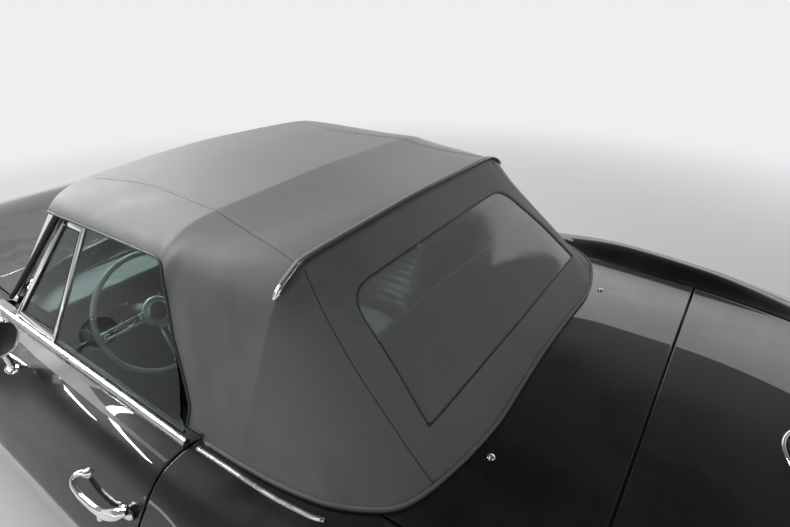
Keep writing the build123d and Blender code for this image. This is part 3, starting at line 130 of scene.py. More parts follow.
def rounded(points, shares, bend_points=9):
    """A chain with each inner corner rounded over a share of its shorter run, and its corners' indices."""
    points = np.asarray(points, float)
    chain, marks = [points[0]], [0]
    for a, b, c, share in zip(points, points[1:], points[2:], shares):
        to_a, to_c = a - b, c - b
        leg = min(np.linalg.norm(to_a), np.linalg.norm(to_c)) * share / 2
        first = b + to_a / max(np.linalg.norm(to_a), 1e-9) * leg
        last = b + to_c / max(np.linalg.norm(to_c), 1e-9) * leg
        for t in np.linspace(0, 1, bend_points):
            chain.append((1 - t)**2 * first + 2 * t * (1 - t) * b + t**2 * last)
        marks.append(len(chain) - 1 - bend_points // 2)
    chain.append(points[-1])
    marks.append(len(chain) - 1)
    return np.array(chain), marks


def lengths_along(chain):
    return np.concatenate([[0], np.cumsum(np.linalg.norm(np.diff(chain, axis=0), axis=1))])


def resampled(chain, marks, counts):
    """The chain with a fixed number of steps between marked points, so that rows of sections line up."""
    s = lengths_along(chain)
    places = [s[marks[0]]]
    for a, b, count in zip(marks, marks[1:], counts):
        places.extend(np.linspace(s[a], s[b], count + 1)[1:])
    return np.column_stack([np.interp(places, s, chain[:, k]) for k in range(chain.shape[1])])


def softened(points, passes):
    """A light smoothing along a chain that keeps its ends."""
    for _ in range(passes):
        points[1:-1] = 0.25 * points[:-2] + 0.5 * points[1:-1] + 0.25 * points[2:]
    return points


# Steps across half of the section, from the sill to the middle: the crease keeps a small radius of its own
CREASE_LEG = 0.007
SECTION_STEPS = (7, 9, 5, 5, 8, 10, 8, 10, 8)
CREASE_COLUMN = sum(SECTION_STEPS[:3])
SEAM_COLUMN = sum(SECTION_STEPS[:7])
HALF_COLUMNS = sum(SECTION_STEPS) + 1


def half_section(row):
    """Half of the section as points across the car, from the sill to the middle."""
    corner = {name: row[list(name)] for name in (SILL, LOW, CREASE, SHOULDER, PEAK, SEAM)}
    middle_z = row[CENTRE_Z]
    crown = np.array([corner[SEAM][0] / 2, corner[SEAM][1] + 0.72 * (middle_z - corner[SEAM][1])])
    low, crease, shoulder = corner[LOW], corner[CREASE], corner[SHOULDER]
    crease_share = 2 * CREASE_LEG / min(np.linalg.norm(low - crease), np.linalg.norm(shoulder - crease))
    points = [corner[SILL], low, crease, shoulder, corner[PEAK], corner[SEAM], crown, np.array([0.0, middle_z])]
    chain, marks = rounded(points, (1.0, min(crease_share, 0.9), 0.95, 0.95, 0.8, 0.9))
    near = 4
    marks = [*marks[:2], marks[2] - near, marks[2], marks[2] + near, *marks[3:]]
    fitted = resampled(chain, marks, SECTION_STEPS)
    upper = fitted[CREASE_COLUMN + 3:]
    both = softened(np.vstack([upper, upper[::-1][1:] * (-1, 1)]), 3)
    fitted[CREASE_COLUMN + 3:] = both[:len(upper)]
    return fitted


BODY_YS = np.concatenate([np.linspace(-2.225, -2.14, 12)[:-1], np.linspace(-2.14, 2.14, 330),
                          np.linspace(2.14, 2.225, 12)[1:]])
BODY_ROWS = smooth_rows(STATIONS, BODY_YS)
BODY = np.zeros((len(BODY_YS), HALF_COLUMNS, 3))
for k, body_row in enumerate(BODY_ROWS):
    section = half_section(body_row)
    BODY[k, :, 0], BODY[k, :, 1], BODY[k, :, 2] = section[:, 0], body_row[0], section[:, 1]


SKIN_XS = np.linspace(0, 0.9, 181)
SKIN_HEIGHTS = np.array([np.interp(SKIN_XS, np.maximum.accumulate(upper[:, 0]), upper[:, 2])
                         for upper in BODY[:, CREASE_COLUMN:][:, ::-1]])


def column_at(column, ys):
    """One column of the station table at any places along the car."""
    return smooth_rows(STATIONS[:, [0, column]], np.atleast_1d(ys))[:, 1]


def row_at(y):
    return smooth_rows(STATIONS, np.array([y]))[0]


def section_at(y):
    return half_section(row_at(y))


def widths_at(section, zs):
    """How far out a rising run of section points lies at some heights."""
    return np.interp(zs, np.maximum.accumulate(section[:, 1]), section[:, 0])


def both_halves(left):
    """A grid that ends on the car's middle plane, carried on to its mirror image."""
    right = left[:, -2::-1].copy()
    right[:, :, 0] *= -1
    return np.concatenate([left, right], axis=1)


def height_at(x, y):
    return float(skin_height(x, y)[0])


def skin_height(x, y):
    """The heights of the body's upper skin over points in plan."""
    x, y = np.abs(np.atleast_1d(x)), np.atleast_1d(y)
    rows = np.interp(y, BODY_YS, np.arange(len(BODY_YS)))
    low = np.clip(rows.astype(int), 0, len(BODY_YS) - 2)
    share = rows - low
    column = np.clip(x / (SKIN_XS[1] - SKIN_XS[0]), 0, len(SKIN_XS) - 1.001)
    left = column.astype(int)
    across = column - left
    near = SKIN_HEIGHTS[low, left] * (1 - across) + SKIN_HEIGHTS[low, left + 1] * across
    far = SKIN_HEIGHTS[low + 1, left] * (1 - across) + SKIN_HEIGHTS[low + 1, left + 1] * across
    return near * (1 - share) + far * share


# Shapes of outlines as signed distances: above zero is kept

def in_box(u, v, centre, half, radius):
    """Above zero inside a rectangle with rounded corners."""
    du = np.abs(u - centre[0]) - (half[0] - radius)
    dv = np.abs(v - centre[1]) - (half[1] - radius)
    outside = np.hypot(np.maximum(du, 0), np.maximum(dv, 0)) + np.minimum(np.maximum(du, dv), 0)
    return radius - outside


def in_polygon(u, v, corners, radius):
    """Above zero inside a polygon whose corners are rounded: the corners given are the arcs' centres."""
    nearest = np.full(np.shape(u), 1e9)
    inside = np.zeros(np.shape(u), bool)
    for (u0, v0), (u1, v1) in zip(corners, corners[1:] + corners[:1]):
        du, dv = u1 - u0, v1 - v0
        t = np.clip(((u - u0) * du + (v - v0) * dv) / (du * du + dv * dv), 0, 1)
        nearest = np.minimum(nearest, np.hypot(u - u0 - t * du, v - v0 - t * dv))
        crosses = ((v0 > v) != (v1 > v)) & (u < (u1 - u0) * (v - v0) / (v1 - v0 + 1e-12) + u0)
        inside ^= crosses
    return radius - np.where(inside, -nearest, nearest)


def grid_mesh(grid, closed_u=False, closed_v=False):
    """A mesh of four-sided faces over a grid of points."""
    grid = np.asarray(grid)
    rows, columns = grid.shape[:2]
    bm = bmesh.new()
    verts = [bm.verts.new(p) for p in grid.reshape(-1, 3)]
    for i in range(rows if closed_u else rows - 1):
        for j in range(columns if closed_v else columns - 1):
            a, b = i * columns + j, i * columns + (j + 1) % columns
            c, d = ((i + 1) % rows) * columns + (j + 1) % columns, ((i + 1) % rows) * columns + j
            bm.faces.new((verts[a], verts[b], verts[c], verts[d]))
    return bm


def trimmed(bm, measure):
    """Cuts a mesh along the line where a measure of (x, y, z) is zero and keeps the part above zero."""
    bm.verts.ensure_lookup_table()
    points = np.array([v.co for v in bm.verts])
    values = np.asarray(measure(points[:, 0], points[:, 1], points[:, 2]))
    bm.verts.index_update()
    on_line = []
    for edge in list(bm.edges):
        a, b = edge.verts
        fa, fb = values[a.index], values[b.index]
        if (fa < 0) == (fb < 0):
            continue
        p, q = np.array(a.co), np.array(b.co)
        low, high = 0.0, 1.0
        for _ in range(14):
            middle = (low + high) / 2
            r = p + middle * (q - p)
            value = measure(r[0:1], r[1:2], r[2:3])[0]
            low, high = (middle, high) if (value < 0) == (fa < 0) else (low, middle)
        share = min(max((low + high) / 2, 0.002), 0.998)
        on_line.append(bmesh.utils.edge_split(edge, a, share)[1])
    bmesh.ops.connect_verts(bm, verts=on_line)
    centres = np.array([f.calc_center_median() for f in bm.faces])
    if len(centres):
        kept = np.asarray(measure(centres[:, 0], centres[:, 1], centres[:, 2])) >= 0
        bmesh.ops.delete(bm, geom=[f for f, keep in zip(list(bm.faces), kept) if not keep], context="FACES")
    bmesh.ops.remove_doubles(bm, verts=bm.verts, dist=0.00025)
    return bm


def roll_edges(bm, radius=EDGE_ROLL, depth=0.012, bends=3):
    """Turns the open edges of a panel down and in, round a small radius, as those of pressed panels are."""
    bm.normal_update()
    edges = [e for e in bm.edges if len(e.link_faces) == 1]
    outward = {}
    for e in edges:
        face = e.link_faces[0]
        a, b = e.verts
        side = (b.co - a.co).cross(face.normal)
        if side.dot(face.calc_center_median() - a.co) > 0:
            side.negate()
        for v in (a, b):
            outward[v] = outward.get(v, Vector()) + side.normalized()
    rings = {}
    for v, direction in outward.items():
        n = v.normal
        out = (direction - n * direction.dot(n)).normalized()
        ring = [v]
        for k in range(1, bends + 1):
            angle = math.pi / 2 * k / bends
            outward_step, drop = radius * math.sin(angle), radius * (1 - math.cos(angle))
            ring.append(bm.verts.new(v.co + out * outward_step - n * drop))
        ring.append(bm.verts.new(ring[-1].co - n * depth))
        rings[v] = ring
    for e in edges:
        loop = e.link_loops[0]
        a, b = loop.vert, loop.link_loop_next.vert
        for k in range(bends + 1):
            bm.faces.new((rings[b][k], rings[a][k], rings[a][k + 1], rings[b][k + 1]))
    return bm


def mirrored(bm):
    """Adds the mesh's mirror image across the car's middle plane."""
    bm.verts.ensure_lookup_table()
    bm.verts.index_update()
    count = len(bm.verts)
    faces = [[v.index for v in f.verts] for f in bm.faces]
    copies = [bm.verts.new((-v.co.x, v.co.y, v.co.z)) for v in list(bm.verts)[:count]]
    for indices in faces:
        bm.faces.new([copies[i] for i in reversed(indices)])
    return bm


def mesh_block(name, bm):
    """A mesh data block out of a working mesh, which is used up."""
    mesh = bpy.data.meshes.new(name)
    bm.to_mesh(mesh)
    bm.free()
    return mesh


def linked(name, data):
    """A new object in the scene."""
    item = bpy.data.objects.new(name, data)
    bpy.context.scene.collection.objects.link(item)
    return item


def joined(*meshes):
    """One mesh out of several, which are used up."""
    whole = meshes[0]
    for other in meshes[1:]:
        temporary = mesh_block("temporary", other)
        whole.from_mesh(temporary)
        bpy.data.meshes.remove(temporary)
    return whole


def outwards(bm):
    """Turns the faces of a closed mesh outwards."""
    bmesh.ops.recalc_face_normals(bm, faces=bm.faces)
    return bm


def facing(bm, measure):
    """Turns all faces round if the sum of a measure of each face is below zero."""
    bm.normal_update()
    if sum(measure(f) for f in bm.faces) < 0:
        bmesh.ops.reverse_faces(bm, faces=bm.faces)
    return bm


def outwards_from_car(bm):
    """Turns the faces so that they look away from the middle of the car."""
    def outward(face):
        centre = face.calc_center_median()
        return face.normal.dot(centre - Vector((0, centre.y, 0.45)))

    return facing(bm, outward)


def on_side(bm, side):
    """A mesh of the driver's side as it is, or its mirror image for the other side."""
    if side < 0:
        bmesh.ops.scale(bm, vec=(-1, 1, 1), verts=bm.verts)
        bmesh.ops.reverse_faces(bm, faces=bm.faces)
    return bm


def piece(name, bm, material, body="body", slot=None, stands_for=(), sharp=40):
    """A finished object from a mesh: smooth, with its material, riding on a body of the frame."""
    mesh = mesh_block(name, bm)
    mesh.shade_smooth()
    if sharp:
        mesh.set_sharp_from_angle(angle=math.radians(sharp))
    mesh.materials.append(material)
    item = linked(name, mesh)
    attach(item, body)
    if stands_for:
        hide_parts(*stands_for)
    return item


def turns(count):
    """Even steps round a circle, in radians."""
    return [math.tau * k / count for k in range(count)]


def capped(bm, around):
    """Closes the two ends of a tube whose rings have a number of points around."""
    bm.verts.ensure_lookup_table()
    last = len(bm.verts) - around
    bm.faces.new([bm.verts[k] for k in range(around)])
    bm.faces.new([bm.verts[last + k] for k in reversed(range(around))])
    return bm


def tube_mesh(points, radius, sides=10, closed=False, up=(0, 0, 1), flat=1.0):
    """A mesh tube along points; radius may be one number or one for each point, flat squeezes it along up."""
    points = [Vector(p) for p in points]
    count = len(points)
    radii = radius if hasattr(radius, "__len__") else [radius] * count
    rings = []
    for i, p in enumerate(points):
        before = points[i - 1] if i or closed else p
        after = points[(i + 1) % count] if i < count - 1 or closed else p
        along = (after - before).normalized()
        side = along.cross(Vector(up))
        side = side.normalized() if side.length > 1e-6 else Vector((1, 0, 0))
        top = side.cross(along).normalized()
        rings.append([p + side * (radii[i] * math.cos(a)) + top * (radii[i] * flat * math.sin(a))
                      for a in turns(sides)])
    bm = grid_mesh(rings, closed_u=closed, closed_v=True)
    return outwards(bm if closed else capped(bm, sides))


def swept_mesh(points, outline, side_of):
    """A closed outline of (side, up) carried along points; side_of gives both directions at each point."""
    rings = []
    for i, p in enumerate(points):
        side, up = side_of(i)
        rings.append([Vector(p) + side * a + up * b for a, b in outline])
    return outwards(capped(grid_mesh(rings, closed_v=True), len(outline)))


def revolved_mesh(profile, centre=(0, 0, 0), axis="X", segments=48):
    """A turned form about X or Z: the profile is (place along the axis, radius)."""
    rings = []
    for a in turns(segments):
        ring = []
        for along, radius in profile:
            c, s = radius * math.cos(a), radius * math.sin(a)
            ring.append((along, c, s) if axis == "X" else (c, s, along))
        rings.append(ring)
    bm = grid_mesh(np.array(rings) + np.array(centre), closed_u=True)
    bmesh.ops.remove_doubles(bm, verts=bm.verts, dist=1e-6)
    return outwards(bm)


def moved(bm, matrix):
    bmesh.ops.transform(bm, matrix=matrix, verts=bm.verts)
    return bm


def block_mesh(low, high, radius=0.004, segments=2):
    """A box with rounded edges between two corners."""
    low, high = Vector(low), Vector(high)
    bm = bmesh.new()
    bmesh.ops.create_cube(bm, size=1.0)
    size = high - low
    bmesh.ops.scale(bm, vec=size, verts=bm.verts)
    bmesh.ops.translate(bm, vec=(low + high) / 2, verts=bm.verts)
    radius = min(radius, min(size) * 0.45)
    bmesh.ops.bevel(bm, geom=bm.edges, offset=radius, segments=segments, profile=0.5, affect="EDGES")
    return outwards(bm)


def boundary_chains(bm):
    """The open edges of a mesh as ordered chains of points."""
    links = {}
    for e in bm.edges:
        if len(e.link_faces) == 1:
            a, b = e.verts
            links.setdefault(a, []).append(b)
            links.setdefault(b, []).append(a)
    chains = []
    while links:
        start = next(iter(links))
        chain = [start]
        while True:
            around = [v for v in links[chain[-1]] if v not in chain[-2:] or (len(chain) > 2 and v is start)]
            around = [v for v in around if v is start or v not in chain]
            if not around or around[0] is start:
                break
            chain.append(around[0])
        for v in chain:
            links.pop(v, None)
        chains.append([v.co.copy() for v in chain])
    return chains


# Effects that several materials share

def group_of(name, inputs, outputs):
    """An empty shader node group with its sockets, and its input and output nodes."""
    tree = bpy.data.node_groups.new(name, "ShaderNodeTree")
    for socket, kind, value in inputs:
        made = tree.interface.new_socket(socket, in_out="INPUT", socket_type="NodeSocket" + kind)
        made.default_value = value
    for socket, kind in outputs:
        tree.interface.new_socket(socket, in_out="OUTPUT", socket_type="NodeSocket" + kind)
    return tree, tree.nodes.new("NodeGroupInput"), tree.nodes.new("NodeGroupOutput")


def node(tree, kind, values=None, settings=None, **links):
    """A shader node with its settings, its own values by socket name or number, and its links."""
    made = tree.nodes.new("ShaderNode" + kind)
    for key, value in (settings or {}).items():
        setattr(made, key, value)
    for key, value in (values or {}).items():
        made.inputs[key].default_value = value
    for key, source in links.items():
        tree.links.new(source, made.inputs[key.replace("_", " ")])
    return made


def ramp(tree, source, stops):
    """A colour ramp over a source: its stops are (place, grey or colour)."""
    made = node(tree, "ValToRGB")
    tree.links.new(source, made.inputs["Fac"])
    elements = made.color_ramp.elements
    while len(elements) < len(stops):
        elements.new(0.5)
    for element, (place, colour) in zip(elements, stops):
        element.position = place
        element.color = colour if hasattr(colour, "__len__") else (colour, colour, colour, 1)
    return made


def fine_grain_group():
    """The height of a pebbled grain in object space."""
    tree, given, out = group_of("Pebbled grain", [("Scale", "Float", 900.0)], [("Height", "Float")])
    where = node(tree, "TexCoord")
    cells = node(tree, "TexVoronoi", settings={"feature": "SMOOTH_F1"}, values={"Smoothness": 0.6},
                 Vector=where.outputs["Object"], Scale=given.outputs["Scale"])
    rough = node(tree, "TexNoise", values={"Scale": 420.0, "Detail": 4.0}, Vector=where.outputs["Object"])
    height = node(tree, "Math", settings={"operation": "MULTIPLY_ADD"}, values={1: 0.5})
    tree.links.new(rough.outputs["Fac"], height.inputs[0])
    tree.links.new(cells.outputs["Distance"], height.inputs[2])
    tree.links.new(height.outputs[0], out.inputs["Height"])
    return tree


def patches_group():
    """Slow, soft variation over a surface, from 0 to 1, as of fading, dust or handling."""
    tree, given, out = group_of("Soft patches", [("Scale", "Float", 4.0), ("Contrast", "Float", 0.5)],
                                [("Mask", "Float")])
    where = node(tree, "TexCoord")
    slow = node(tree, "TexNoise", values={"Detail": 5.0, "Roughness": 0.6}, Vector=where.outputs["Object"],
                Scale=given.outputs["Scale"])
    low = node(tree, "Math", settings={"operation": "MULTIPLY_ADD"}, values={1: -0.35, 2: 0.5})
    high = node(tree, "Math", settings={"operation": "MULTIPLY_ADD"}, values={1: 0.1, 2: 0.55})
    tree.links.new(given.outputs["Contrast"], low.inputs[0])
    tree.links.new(given.outputs["Contrast"], high.inputs[0])
    mask = node(tree, "MapRange", settings={"interpolation_type": "SMOOTHSTEP"}, Value=slow.outputs["Fac"])
    tree.links.new(low.outputs[0], mask.inputs["From Min"])
    tree.links.new(high.outputs[0], mask.inputs["From Max"])
    tree.links.new(mask.outputs["Result"], out.inputs["Mask"])
    return tree


PEBBLED = fine_grain_group()
PATCHES = patches_group()


def use(tree, group, **values):
    """One of the shared effects, placed in a material with values of its own."""
    made = tree.nodes.new("ShaderNodeGroup")
    made.node_tree = group
    for key, value in values.items():
        made.inputs[key.replace("_", " ")].default_value = value
    return made


def material(name, colour, roughness, **settings):
    """A new material with its shader's plain values set on the shader's own sockets."""
    made = bpy.data.materials.new(name)
    made.use_nodes = True
    shader = made.node_tree.nodes["Principled BSDF"]
    shader.inputs["Base Color"].default_value = (*colour, 1)
    shader.inputs["Roughness"].default_value = roughness
    for key, value in settings.items():
        shader.inputs[key.replace("_", " ")].default_value = value
    return made, made.node_tree, shader


def varied(tree, shader, mask, socket, low, high):
    """Lets a mask move one of the shader's sockets between two values or colours."""
    if hasattr(low, "__len__"):
        mix = node(tree, "Mix", settings={"data_type": "RGBA"}, values={6: (*low, 1), 7: (*high, 1)})
        tree.links.new(mask, mix.inputs["Factor"])
        tree.links.new(mix.outputs[2], shader.inputs[socket])
    else:
        spread = node(tree, "MapRange", values={"To Min": low, "To Max": high}, Value=mask)
        tree.links.new(spread.outputs["Result"], shader.inputs[socket])


def bumped(tree, shader, height, strength, distance):
    """Lets a height move the shader's normal."""
    bump = node(tree, "Bump", values={"Strength": strength, "Distance": distance}, Height=height)
    tree.links.new(bump.outputs["Normal"], shader.inputs["Normal"])


def paint_material():
    """Deep gloss black paint: a faint waviness in the coat, and a little dust where it lies."""
    made, tree, shader = material("Gloss black paint", (0.0035, 0.0035, 0.0042), 0.3, Coat_Weight=1.0,
                                  Coat_Roughness=0.012, Specular_IOR_Level=0.1)
    where = node(tree, "TexCoord")
    ripple = node(tree, "TexNoise", values={"Scale": 210.0, "Detail": 2.0}, Vector=where.outputs["Object"])
    slow = use(tree, PATCHES, Scale=7.0, Contrast=0.4)
    varied(tree, shader, slow.outputs["Mask"], "Roughness", 0.3, 0.45)
    varied(tree, shader, slow.outputs["Mask"], "Base Color", (0.003, 0.003, 0.0036), (0.0055, 0.0055, 0.006))
    bumped(tree, shader, ripple.outputs["Fac"], 0.05, 0.0006)
    return made


def chrome_material(name="Bright chrome", colour=(0.82, 0.83, 0.84), roughness=0.045, brushed=0.0):
    made, tree, shader = material(name, colour, roughness, Metallic=1.0)
    where = node(tree, "TexCoord")
    stretch = node(tree, "Mapping", values={"Scale": (1.0, 1.0, 18.0) if brushed else (1.0, 1.0, 1.0)},
                   Vector=where.outputs["Object"])
    specks = node(tree, "TexNoise", values={"Scale": 260.0, "Detail": 6.0, "Roughness": 0.7},
                  Vector=stretch.outputs[0])
    slow = use(tree, PATCHES, Scale=14.0, Contrast=0.3)
    varied(tree, shader, slow.outputs["Mask"], "Roughness", roughness, roughness + 0.06 + brushed)
    bumped(tree, shader, specks.outputs["Fac"], 0.02 + brushed, 0.0004)
    return made


def top_vinyl_material():
    """The soft top's grained dark grey vinyl, faded paler in slow patches, with rubbed and dusty patches."""
    made, tree, shader = material("Grained top vinyl", (0.08, 0.082, 0.085), 0.55, Sheen_Weight=0.35,
                                  Sheen_Roughness=0.4)
    grain = use(tree, PEBBLED, Scale=1150.0)
    fade = use(tree, PATCHES, Scale=2.6, Contrast=0.5)
    rub = use(tree, PATCHES, Scale=11.0, Contrast=0.8)
    both = node(tree, "Math", settings={"operation": "MULTIPLY_ADD"}, values={1: 0.35})
    tree.links.new(rub.outputs["Mask"], both.inputs[0])
    tree.links.new(fade.outputs["Mask"], both.inputs[2])
    varied(tree, shader, both.outputs[0], "Base Color", (0.062, 0.064, 0.067), (0.098, 0.100, 0.103))
    varied(tree, shader, both.outputs[0], "Roughness", 0.46, 0.62)
    bumped(tree, shader, grain.outputs["Height"], 0.35, 0.0006)
    return made


def plain_grain(name, colour, second, roughness, scale, strength, **settings):
    """A moulded, woven or grained finish between two colours, with a pebbled bump."""
    made, tree, shader = material(name, colour, roughness, **settings)
    grain = use(tree, PEBBLED, Scale=scale)
    slow = use(tree, PATCHES, Scale=6.0, Contrast=0.6)
    varied(tree, shader, slow.outputs["Mask"], "Base Color", colour, second)
    varied(tree, shader, slow.outputs["Mask"], "Roughness", roughness - 0.06, roughness + 0.08)
    bumped(tree, shader, grain.outputs["Height"], strength, 0.0006)
    return made


def clear_material(name, colour, roughness, wave, ior=1.45, transmission=1.0):
    """Glass or clear sheet: it lets light through to the cabin and has a faint waviness."""
    made, tree, shader = material(name, colour, roughness, Transmission_Weight=transmission, IOR=ior,
                                  Specular_IOR_Level=0.3)
    where = node(tree, "TexCoord")
    waves = node(tree, "TexNoise", values={"Scale": 5.0 if wave > 0.05 else 2.0, "Detail": 3.0},
                 Vector=where.outputs["Object"])
    bumped(tree, shader, waves.outputs["Fac"], wave, 0.01)
    slow = use(tree, PATCHES, Scale=9.0, Contrast=0.5)
    varied(tree, shader, slow.outputs["Mask"], "Roughness", roughness, roughness + 0.04)
    path = node(tree, "LightPath")
    through = node(tree, "BsdfTransparent", values={"Color": (*colour, 1)})
    mix = node(tree, "MixShader", Fac=path.outputs["Is Shadow Ray"])
    tree.links.new(shader.outputs[0], mix.inputs[1])
    tree.links.new(through.outputs[0], mix.inputs[2])
    tree.links.new(mix.outputs[0], tree.nodes["Material Output"].inputs["Surface"])
    return made


PAINT = paint_material()
CHROME = chrome_material()
SATIN = chrome_material("Satin stainless trim", (0.62, 0.62, 0.61), 0.2, 0.06)
BRUSHED = chrome_material("Brushed spokes", (0.55, 0.56, 0.57), 0.24, 0.1)
TOP_VINYL = top_vinyl_material()
BINDING = plain_grain("Black binding", (0.012, 0.012, 0.013), (0.022, 0.022, 0.024), 0.5, 1500.0, 0.2)
WELT_RUBBER = plain_grain("Smooth welt rubber", (0.020, 0.020, 0.021), (0.030, 0.030, 0.031), 0.26, 1500.0,
                          0.05)
SEAL = plain_grain("Rubber seal", (0.010, 0.010, 0.011), (0.020, 0.020, 0.021), 0.6, 1300.0, 0.25)
RUBBER = plain_grain("Tyre rubber", (0.016, 0.016, 0.017), (0.030, 0.029, 0.028), 0.72, 700.0, 0.3)
LEATHER = plain_grain("Black leather", (0.012, 0.012, 0.013), (0.022, 0.021, 0.021), 0.42, 640.0, 0.3)
CARPET = plain_grain("Black carpet", (0.012, 0.012, 0.012), (0.022, 0.021, 0.021), 0.95, 480.0, 0.35,
                     Sheen_Weight=0.3)
TRIM = plain_grain("Black cabin trim", (0.014, 0.014, 0.015), (0.024, 0.024, 0.025), 0.5, 900.0, 0.3)
CHASSIS = plain_grain("Chassis black", (0.014, 0.014, 0.014), (0.035, 0.033, 0.030), 0.55, 260.0, 0.25)
IRON = plain_grain("Engine paint", (0.05, 0.03, 0.022), (0.09, 0.05, 0.035), 0.5, 300.0, 0.3)
STEEL = chrome_material("Exhaust steel", (0.42, 0.41, 0.39), 0.32, 0.05)
GLASS = clear_material("Tinted glass", (0.58, 0.68, 0.66), 0.0, 0.02, ior=1.22)
VINYL_WINDOW = clear_material("Clear vinyl window", (0.80, 0.82, 0.83), 0.06, 0.10, transmission=0.87)
RED_LENS = clear_material("Red lens", (0.55, 0.01, 0.012), 0.08, 0.05)


# The body's painted panels

def skin_grid(y0, y1, first, last):
    """The outer skin on the driver's side between two places along the car and two columns of the section."""
    keep = (BODY_YS > y0 - 0.03) & (BODY_YS < y1 + 0.03)
    return BODY[keep][:, first:last + 1]


def crown_grid(y0, y1):
    """The hood's or deck's skin from the left seam, over the middle, to the right seam."""
    return both_halves(skin_grid(y0, y1, SEAM_COLUMN - 3, HALF_COLUMNS - 1))


def between_ys(y0, y1):
    return lambda x, y, z: np.minimum(y - y0, y1 - y)


def beyond_seam(x, y, z):
    return np.abs(x) - column_at(SEAM[0], y) - EDGE


def within_seam(x, y, z):
    return column_at(SEAM[0], y) - EDGE - np.abs(x)


def outside_arch(axle_y):
    return lambda x, y, z: np.hypot(y - axle_y, z - WHEEL_ARCH_Z) - WHEEL_ARCH_RADIUS


def fender(name, y0, y1, axle_y, node_name):
    """The panels of both sides between the doors' seams and the car's ends, open over the wheel."""
    bm = grid_mesh(skin_grid(y0, y1, 0, SEAM_COLUMN + 1))
    for measure in (between_ys(y0, y1), beyond_seam, outside_arch(axle_y)):
        trimmed(bm, measure)
    piece(name, mirrored(roll_edges(outwards_from_car(bm))), PAINT, slot="black_paint", stands_for=(node_name,))


def crown_panel(name, y0, y1, body, node_names, extra=()):
    """A panel between the long seams and two cross seams, with any further limits."""
    bm = grid_mesh(crown_grid(y0, y1))
    for measure in (between_ys(y0 + EDGE, y1 - EDGE), within_seam, *extra):
        trimmed(bm, measure)
    piece(name, roll_edges(outwards_from_car(bm)), PAINT, body, "black_paint", node_names)


def body_panels():
    fender("Front_fenders", NOSE_REAR_Y + EDGE, -0.540, FRONT_AXLE_Y, "front_fenders")
    fender("Rear_quarters", 0.513, DECK_REAR_Y, REAR_AXLE_Y, "rear_quarters")
    sill = grid_mesh(skin_grid(DOOR_FRONT_Y - 0.01, DOOR_REAR_Y + 0.01, 0, CREASE_COLUMN))
    trimmed(sill, between_ys(DOOR_FRONT_Y - 0.0005, DOOR_REAR_Y + 0.0045))
    trimmed(sill, lambda x, y, z: DOOR_BOTTOM_Z - EDGE - 0.001 - z)
    piece("Rockers", mirrored(roll_edges(outwards_from_car(sill))), PAINT, slot="black_paint",
          stands_for=("rockers",))

    def clear_of_hinge_corners(x, y, z):
        return within_seam(x, y, z) - 0.006 * np.clip((-1.88 - y) / 0.06, 0, 1)

    def clear_of_filler(x, y, z):
        return np.hypot(x, y - FILLER_Y) - FILLER_RADIUS - SEAM_GAP

    crown_panel("Hood", HOOD_FRONT_Y, HOOD_REAR_Y, "hood", ("hood",), (clear_of_hinge_corners,))
    crown_panel("Cowl", HOOD_REAR_Y, COWL_REAR_Y, "body", ("cowl_panel",))
    crown_panel("Lid_over_the_top_well", LID_FRONT_Y, LID_REAR_Y, "body", ("deck_lid",))
    crown_panel("Rear_deck", LID_REAR_Y, DECK_REAR_Y + EDGE, "body", ("rear_deck",), (clear_of_filler,))
    disc = trimmed(grid_mesh(crown_grid(FILLER_Y - 0.12, FILLER_Y + 0.12)),
                   lambda x, y, z: FILLER_RADIUS - 0.001 - np.hypot(x, y - FILLER_Y))
    piece("Filler_door", roll_edges(outwards_from_car(disc)), PAINT, "filler_door", "black_paint",
          ("filler_door",))


def doors():
    """Each door's outer panel, from the gap over the rocker to the belt."""
    middle = ((DOOR_FRONT_Y + DOOR_REAR_Y) / 2, 0.79)
    half = ((DOOR_REAR_Y - DOOR_FRONT_Y) / 2 - EDGE_ROLL, 0.5 - EDGE_ROLL)
    corner_radius, belt_x = 0.012, 0.690

    def outline(x, y, z):
        return np.minimum(in_box(y, z, middle, half, corner_radius), x - belt_x)

    for side, name in SIDES:
        bm = trimmed(grid_mesh(skin_grid(DOOR_FRONT_Y, DOOR_REAR_Y, 0, SEAM_COLUMN)), outline)
        roll_edges(outwards_from_car(bm), depth=0.016)
        piece("Door_skin_" + name, on_side(bm, side), PAINT, "door_" + name, "black_paint")


def nose():
    """The nose ahead of the hood, with the headlamps' covers let into it."""
    whole = both_halves(skin_grid(-2.3, NOSE_REAR_Y, 0, HALF_COLUMNS - 1))
    y0, y1 = -2.162, -2.058
    x0, x1 = 0.395, 0.618
    corner_radius = 0.014

    def cover(x, y, slack):
        half = ((x1 - x0) / 2 + slack, (y1 - y0) / 2 + slack)
        return in_box(np.abs(x), y, ((x0 + x1) / 2, (y0 + y1) / 2), half, corner_radius)

    def upper(z, y):
        return z - column_at(CREASE[1], y)

    panel = grid_mesh(whole)
    trimmed(panel, between_ys(-3, NOSE_REAR_Y - EDGE))
    trimmed(panel, lambda x, y, z: np.maximum(-cover(x, y, 0.003 + EDGE_ROLL), -upper(z, y)))
    piece("Nose", roll_edges(outwards_from_car(panel), radius=0.0085, depth=0.004), PAINT, slot="black_paint",
          stands_for=("nose_panel",))
    lids = grid_mesh(whole)
    trimmed(lids, lambda x, y, z: np.minimum(cover(x, y, -EDGE_ROLL), upper(z, y) - 0.002))
    piece("Headlamp_covers", roll_edges(outwards_from_car(lids)), PAINT, slot="black_paint",
          stands_for=("headlamp_covers",))


